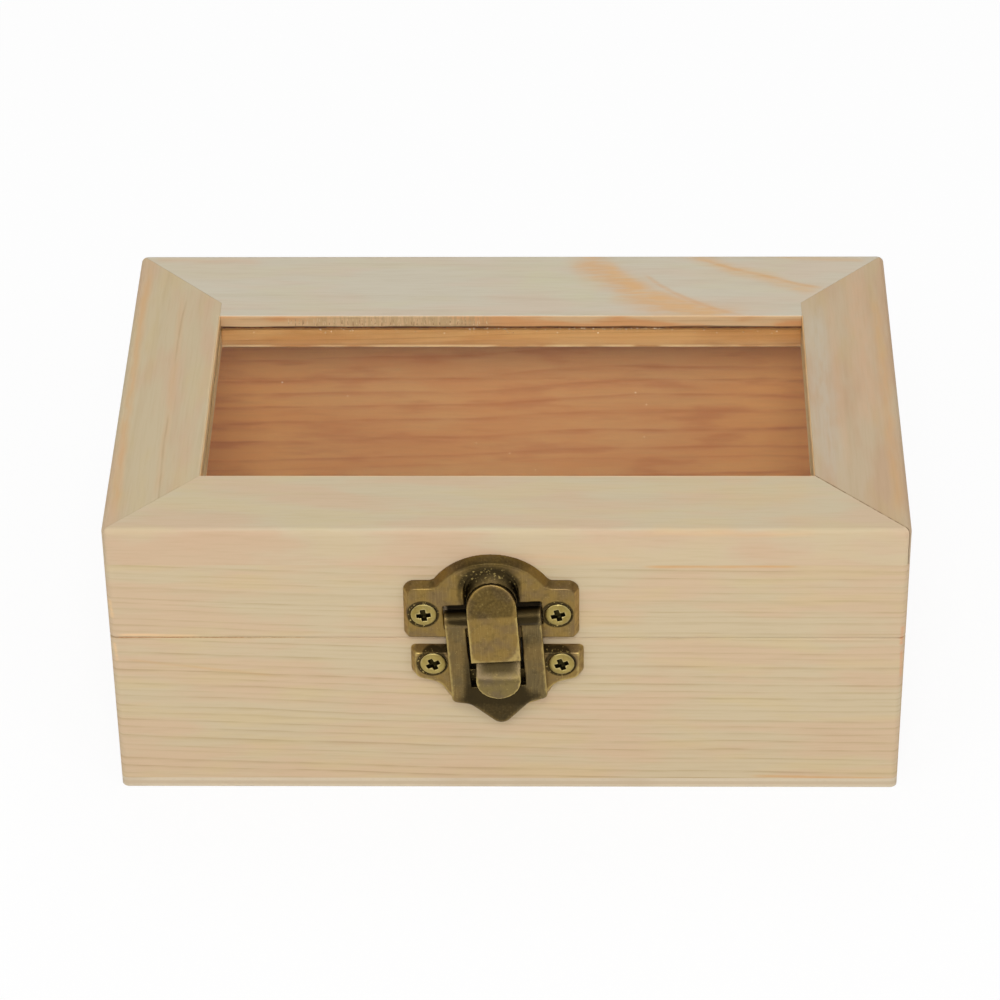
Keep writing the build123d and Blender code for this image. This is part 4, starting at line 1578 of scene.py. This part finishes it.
@dataclass(frozen=True)
class Flare:
    """The dusty flare that runs up from the pocket's floor to the tongue's round end, in millimetres.

    Reaches are measured from the ring's pivot, up along the latch.
    """

    pivot: Pair = (-2.2, 5.65)
    lean: float = math.radians(3.6)
    tongue_radius: float = 4.05
    tongue_centre: float = 2.85
    pocket_radius: float = 4.4
    pocket_centre: float = 5.25
    start: float = 0.6
    overlap: float = 0.08
    floor_rise: float = 0.6
    floor_play: float = 0.25
    top_rise: float = 1.75
    share: float = 0.62
    curve: float = 1.3
    mark: float = -0.52
    mark_fall: float = 0.25

    def raise_floor(self, rubbed: Rubbed) -> None:
        """Lifts the floor beside the tongue's end, and dusts it.

        Args:
            rubbed: the mesh of the plate.
        """
        x, z = rubbed.points[:, X] - self.pivot[0], rubbed.points[:, Z] - SEAM_Z - self.pivot[1]
        across = x * math.cos(self.lean) + z * math.sin(self.lean)
        up = z * math.cos(self.lean) - x * math.sin(self.lean)
        off = np.hypot(across, np.maximum(up - self.tongue_centre, 0)) - self.tongue_radius
        room = self.pocket_radius - np.hypot(across, np.maximum(up - self.pocket_centre, 0))
        part = np.clip(off / np.maximum(off + room, 0.01) / self.share, 0, 1)
        height = self.floor_rise + (self.top_rise - self.floor_rise) * (1 - part) ** self.curve
        rise = FRONT_Y - rubbed.points[:, Y]
        between = (off > -self.overlap) & (room > 0) & (up > self.start)
        lifted = between & (rise > self.floor_rise - self.floor_play) & (rise < height)
        rubbed.points[:, Y] = np.where(lifted, FRONT_Y - height, rubbed.points[:, Y])
        rubbed.store()
        dusted = between & (rise < self.top_rise) & (part < 1)
        rubbed.marks = np.where(dusted, self.mark - part * self.mark_fall, rubbed.marks)


@dataclass
class BrassPart:
    """A sheet brass part: the solid of the frame with rubbed corners and marked edges."""

    node: str
    name: str
    body: Body
    voxel: float = 0.14
    rounds: int = 5
    grime_and_shade: tuple[GrimeAndShade, ...] = ()
    # The next two paint light on the slopes that face the sides and shade on those that face up
    side_painted_light: float = 0.0
    top_painted_shade: float = 0.0
    crest: float = 1.0
    flare: Flare | None = None

    def build(self, finish: bpy.types.Material) -> None:
        """Makes the piece that stands for the node.

        Args:
            finish: its material.
        """
        rubbed = Rubbed(merged_copy(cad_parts[self.node].data), self.voxel, self.rounds)
        rubbed.dull(self.crest, PLATE_RISE + 0.2)
        rubbed.slopes(self.side_painted_light, self.top_painted_shade)
        for patch in self.grime_and_shade:
            change = rubbed.tint if patch.polish_from is None else rubbed.polish
            change(patch.strength_at(rubbed.points))
        if self.flare:
            self.flare.raise_floor(rubbed)
        settle(rubbed.piece(self.name, finish), self.body, "antique_brass", self.node)


@dataclass
class Latch:
    """The hasp latch: two plates, the ring, the catch and four screws."""

    groups: Groups
    lid_screws_x: float = -2.55
    lid_screw_spacing: float = 21.8
    lid_screw_height: float = 6.1
    base_plate_x: float = -1.6
    base_screw_spacing: float = 21.0
    base_screw_height: float = -4.1
    rim_rise: float = 1.57
    screw: ScrewShape = ScrewShape(2.14, 0.4, 1.0, 4.8, 2.6, 0.86, 0.95, 0.08)
    # The next two place painted shadow rings round the screws, shifted up and to the left
    screw_shadow_radius: float = 2.85
    screw_shadow_shift: Pair = (-0.12, 0.15)

    def screw_shadow_rings(self, middle: float, height: float, spacing: float) -> tuple[GrimeAndShade, ...]:
        """Painted shadow rings round two screws, shifted up and to the left like a cast shadow.

        Args:
            middle: x of the middle between them.
            height: their height above the seam.
            spacing: the distance between them.

        Returns:
            The two rings.
        """
        shift_x, shift_z = self.screw_shadow_shift
        ring = (height + shift_z, self.screw_shadow_radius, self.screw_shadow_radius, 0.85, 0.66)
        return tuple(GrimeAndShade(middle + way * spacing / 2 + shift_x, *ring, power=2.0) for way in (-1, 1))

    def build(self, screws: GeometryGroup) -> None:
        """Makes the latch's pieces.

        Args:
            screws: the tree that sets out screws.
        """
        ring = BrassFinish("antique_brass_ring", shade(50, 41, 23), shade(124, 102, 62), shade(104, 90, 62),
                           wear=0.55)
        nose = BrassFinish("antique_brass_catch", middle=shade(132, 114, 70), tarnish=shade(114, 98, 76),
                           brushing=0.0)
        self.plates(BrassFinish("antique_brass", sparks=0.8).material(self.groups))
        ring_grime_and_shade = (
            GrimeAndShade(-1.9, -3.6, 5.8, 8.2, 0.7, softness=1.4),
            # Painted shade over the pivot barrel, dulling its highlight
            GrimeAndShade(-2.2, 7.2, 9.0, 2.3, 0.9, softness=0.6),
            GrimeAndShade(-1.5, -11.6, 8.0, 6.0, 0.56, softness=2.6, power=2.0),
            GrimeAndShade(4.0, 2.4, 2.6, 2.6, 0.3, softness=1.5, power=2.0),
            GrimeAndShade(4.6, -10.4, 2.8, 2.8, 0.38, softness=1.6, power=2.0),
            GrimeAndShade(-7.4, -11.6, 3.0, 2.2, 0.34, softness=1.4, power=2.0),
        )
        nose_grime_and_shade = (
            GrimeAndShade(-1.4, -6.9, 2.5, 2.4, 0.16, softness=1.3, power=2.0),
            # Painted shadow of the tongue on the top of the catch
            GrimeAndShade(-1.4, -3.2, 4.6, 2.8, 0.66, softness=1.6),
        )
        BrassPart("latch_hasp", "hasp_ring", Body.HASP, grime_and_shade=ring_grime_and_shade).build(ring.material(self.groups))
        BrassPart("latch_catch", "spring_catch", Body.BASE, rounds=24, grime_and_shade=nose_grime_and_shade).build(
            nose.material(self.groups))
        self.screws(screws)

    def plates(self, brass: bpy.types.Material) -> None:
        """Makes the two pressed plates.

        Args:
            brass: their material.
        """
        lid_grime_and_shade = (
            # Painted shadow rings round the screws
            *self.screw_shadow_rings(self.lid_screws_x, self.lid_screw_height, self.lid_screw_spacing),
            # Dark plating in the pocket and the arch above the tongue, with painted shade where the tongue
            # shades them
            GrimeAndShade(-2.4, 9.0, 5.3, 6.9, 0.6, rise_limit=1.3),
            GrimeAndShade(-2.7, 10.6, 5.6, 5.2, 0.85, 0.72, rise_limit=1.95, softness=1.0, power=2.2),
            GrimeAndShade(-2.9, 13.2, 6.4, 3.6, 0.7, rise_limit=1.95, softness=1.8, power=2.0),
            # Painted shade along the crest of the arch, dulling its reflection
            GrimeAndShade(-2.5, 15.8, 8.0, 1.9, 0.35, rise_limit=1.95, softness=1.3, power=2.0),
            # Painted shade on the tongue's upward slope
            GrimeAndShade(-2.5, 10.4, 3.75, 3.3, 0.15, softness=0.15, power=4.0),
            GrimeAndShade(-2.3, 6.0, 4.9, 8.9, 0.6, 0.78, power=4.0, polish_from=2.3),
            # The tongue's bottom edge made bright: rubbed metal with a painted highlight
            GrimeAndShade(-1.9, -2.1, 4.8, 0.5, 0.75, softness=0.2, polish_from=2.3),
        )
        base_grime_and_shade = (
            # Painted shadow rings round the screws
            *self.screw_shadow_rings(self.base_plate_x, self.base_screw_height, self.base_screw_spacing),
            # Painted shade on the plate inside the ring, behind the ring and the catch
            GrimeAndShade(-1.7, -4.0, 6.0, 6.5, 1.0, rise_limit=1.95),
            # Darker along the top edge of the base plate
            GrimeAndShade(self.base_plate_x, -1.6, 14.0, 0.8, 0.75),
        )
        # Painted light on the side-facing slopes and painted shade on the up-facing ones
        BrassPart("latch_lid_plate", "lid_plate_pressed", Body.LID, grime_and_shade=lid_grime_and_shade, side_painted_light=0.6,
                  top_painted_shade=0.32, crest=0.25, flare=Flare()).build(brass)
        # Painted light on the side-facing slopes
        BrassPart("latch_base_plate", "base_plate_pressed", Body.BASE, grime_and_shade=base_grime_and_shade,
                  side_painted_light=0.55).build(brass)

    def screws(self, tree: GeometryGroup) -> None:
        """Turns in the four screws.

        Args:
            tree: the tree that sets them out.
        """
        bright = BrassFinish("screw_brass", shade(30, 28, 14), shade(174, 154, 88), shade(150, 128, 68),
                             shade(212, 194, 132)).material(self.groups)
        rim_y = FRONT_Y - self.rim_rise
        for body, middle, height, spacing, first, step in (
            (Body.LID, self.lid_screws_x, self.lid_screw_height, self.lid_screw_spacing, 8.0, 9.0),
            (Body.BASE, self.base_plate_x, self.base_screw_height, self.base_screw_spacing, 28.0, -8.0),
        ):
            rows = ScrewRows(f"{body.value}_screw_pair", f"latch_{body.value}_screws", body,
                             (middle, rim_y, SEAM_Z + height), spacing, first, step, outward=-1)
            rows.build(tree, self.screw, bright)


@dataclass
class Hinges:
    """The two small hinges on the back, and their screws."""

    groups: Groups
    spacing: float = 76.0
    screw_spacing: float = 12.0
    screw_drop: float = 5.2
    rim_rise: float = 0.62
    voxel: float = 0.13
    screw: ScrewShape = ScrewShape(1.23, 0.25, 0.65, 4.9, 1.5, 0.4, 0.5, 0.07)

    def build(self, screws: GeometryGroup) -> None:
        """Makes the hinges' pieces.

        Args:
            screws: the tree that sets out screws.
        """
        brass = BrassFinish("hinge_brass").material(self.groups)
        bright = BrassFinish("hinge_screw_brass", middle=shade(190, 176, 112)).material(self.groups)
        levels = (("base", Body.BASE, -1), ("lid", Body.LID, 1))
        for side in ("left", "right"):
            for level, body, _ in levels:
                leaf = f"{side}_{level}_leaf"
                BrassPart(f"hinge_{leaf}", f"{leaf}_rolled", body, self.voxel).build(brass)
            dress_node(f"hinge_{side}_pin", brass)
        for level, body, way in levels:
            middle = (0.0, BACK_Y + self.rim_rise, SEAM_Z + way * self.screw_drop)
            rows = ScrewRows(f"{level}_hinge_screws", f"hinge_{level}_screws", body, middle,
                             self.screw_spacing, 15.0, 37.0, outward=1, way=way, plates=2,
                             plate_spacing=self.spacing)
            rows.build(screws, self.screw, bright)


# The studio
@dataclass(frozen=True)
class Lamp:
    """A square soft lamp, in metres and watts."""

    name: str
    place: Point
    size: float
    power: float
    aim: Point = (0.0, 0.0, 0.03)

    def build(self) -> None:
        """Hangs the lamp, aimed at the box."""
        data = bpy.data.lights.new(self.name, "AREA")
        data.size = self.size
        data.energy = self.power
        lamp = bpy.data.objects.new(self.name, data)
        lamp.location = self.place
        lamp.rotation_euler = (Vector(self.aim) - Vector(self.place)).to_track_quat("-Z", "Y").to_euler()
        bpy.context.scene.collection.objects.link(lamp)


@dataclass
class Studio:
    """The floor, the lamps, the world and the camera, in metres and degrees."""

    eye: Point = (0.011512, -0.568731, 0.455657)
    yaw: float = -1.3378
    pitch: float = 36.7916
    roll: float = -0.7895
    lens: float = 149.391
    sensor: float = 36.0
    horizon_light: float = 0.36
    zenith_light: float = 0.6
    back_share: float = 0.5
    floor_size: float = 6.0
    floor_glow: float = 0.9
    floor_grey: Colour = (0.93, 0.93, 0.93, 1.0)
    lamps: tuple[Lamp, ...] = (
        Lamp("front_softbox", (0.0, -1.02, 1.08), 0.5, 8.0),
        Lamp("left_softbox", (-0.85, -0.85, 0.8), 0.6, 2.5),
        Lamp("right_softbox", (0.85, -0.85, 0.8), 0.6, 2.5),
        Lamp("back_softbox", (0.0, 0.75, 1.35), 0.8, 3.8),
    )

    def build(self) -> None:
        """Sets up everything round the box."""
        self.camera()
        self.world()
        self.floor()
        for lamp in self.lamps:
            lamp.build()
        bpy.context.scene.view_settings.view_transform = "Standard"

    def camera(self) -> None:
        """The photograph's camera."""
        data = bpy.data.cameras.new("camera")
        data.lens = self.lens
        data.sensor_width = self.sensor
        data.clip_start = 0.01
        camera = bpy.data.objects.new("camera", data)
        yaw, pitch, roll = (math.radians(angle) for angle in (self.yaw, self.pitch, self.roll))
        forward = Vector((math.sin(yaw) * math.cos(pitch), math.cos(yaw) * math.cos(pitch), -math.sin(pitch)))
        right = Vector((math.cos(yaw), -math.sin(yaw), 0.0))
        up = right.cross(forward)
        rolled_right = right * math.cos(roll) + up * math.sin(roll)
        rolled_up = up * math.cos(roll) - right * math.sin(roll)
        turn = Matrix((rolled_right, rolled_up, -forward)).transposed().to_4x4()
        camera.matrix_world = Matrix.Translation(self.eye) @ turn
        bpy.context.scene.collection.objects.link(camera)
        bpy.context.scene.camera = camera

    def world(self) -> None:
        """Dim light from all round, brightest from above and weakest from behind. The camera sees white."""
        world = bpy.data.worlds.new("studio")
        world.use_nodes = True
        graph = Graph(world.node_tree)
        background = world.node_tree.nodes["Background"]
        background.inputs["Color"].default_value = WHITE
        _, deep, up = graph.axes(graph.add("ShaderNodeTexCoord").outputs["Generated"])
        rise = graph.times(graph.smooth(up, 0.2, 1.0), self.zenith_light - self.horizon_light)
        back = graph.times(graph.smooth(deep, 0.2, 0.7), self.back_share - 1.0)
        light = graph.times(graph.plus(rise, self.horizon_light), graph.plus(back, 1.0))
        seen = graph.add("ShaderNodeLightPath").outputs["Is Camera Ray"]
        graph.feed(background.inputs["Strength"], graph.math("MAXIMUM", light, seen))
        bpy.context.scene.world = world

    def floor(self) -> None:
        """A plain pale floor that keeps the box's shadow."""
        paint = Paint("pale_floor")
        graph = paint.graph
        graph.tree.nodes.remove(paint.shader)
        matt = graph.add("ShaderNodeBsdfDiffuse", {"Color": self.floor_grey})
        glow = graph.add("ShaderNodeEmission", {"Color": WHITE, "Strength": 1.0})
        path = graph.add("ShaderNodeLightPath").outputs
        seen = path["Is Camera Ray"]
        for ray in ("Is Glossy Ray", "Is Transmission Ray"):
            seen = graph.math("ADD", seen, path[ray], clamp=True)
        paint.end_in_mix(graph.times(seen, self.floor_glow), matt.outputs[0], glow.outputs[0])
        ends = (-self.floor_size / 2, self.floor_size / 2)
        piece = link(flat_sheet("floor", ends, ends, 0.0), "floor")
        piece.data.materials.append(paint.material)


def main() -> None:
    """Builds the studio and the box."""
    logging.basicConfig(level=logging.INFO, format="%(name)s: %(message)s")
    Studio().build()
    groups = Groups()
    WoodenBox(groups).dress()
    lid_frame = LidFrame(groups)
    lid_frame.dress()
    lid_frame.fill_mitres()
    lid_frame.fill_groove()
    lid_frame.fibres(DustAndShadeFinish("torn_pine", shade(214, 186, 146), shade(176, 140, 98)).material())
    Pane().dress()
    screws = screw_rows_tree()
    Latch(groups).build(screws)
    Hinges(groups).build(screws)


if __name__ == "__main__":
    main()
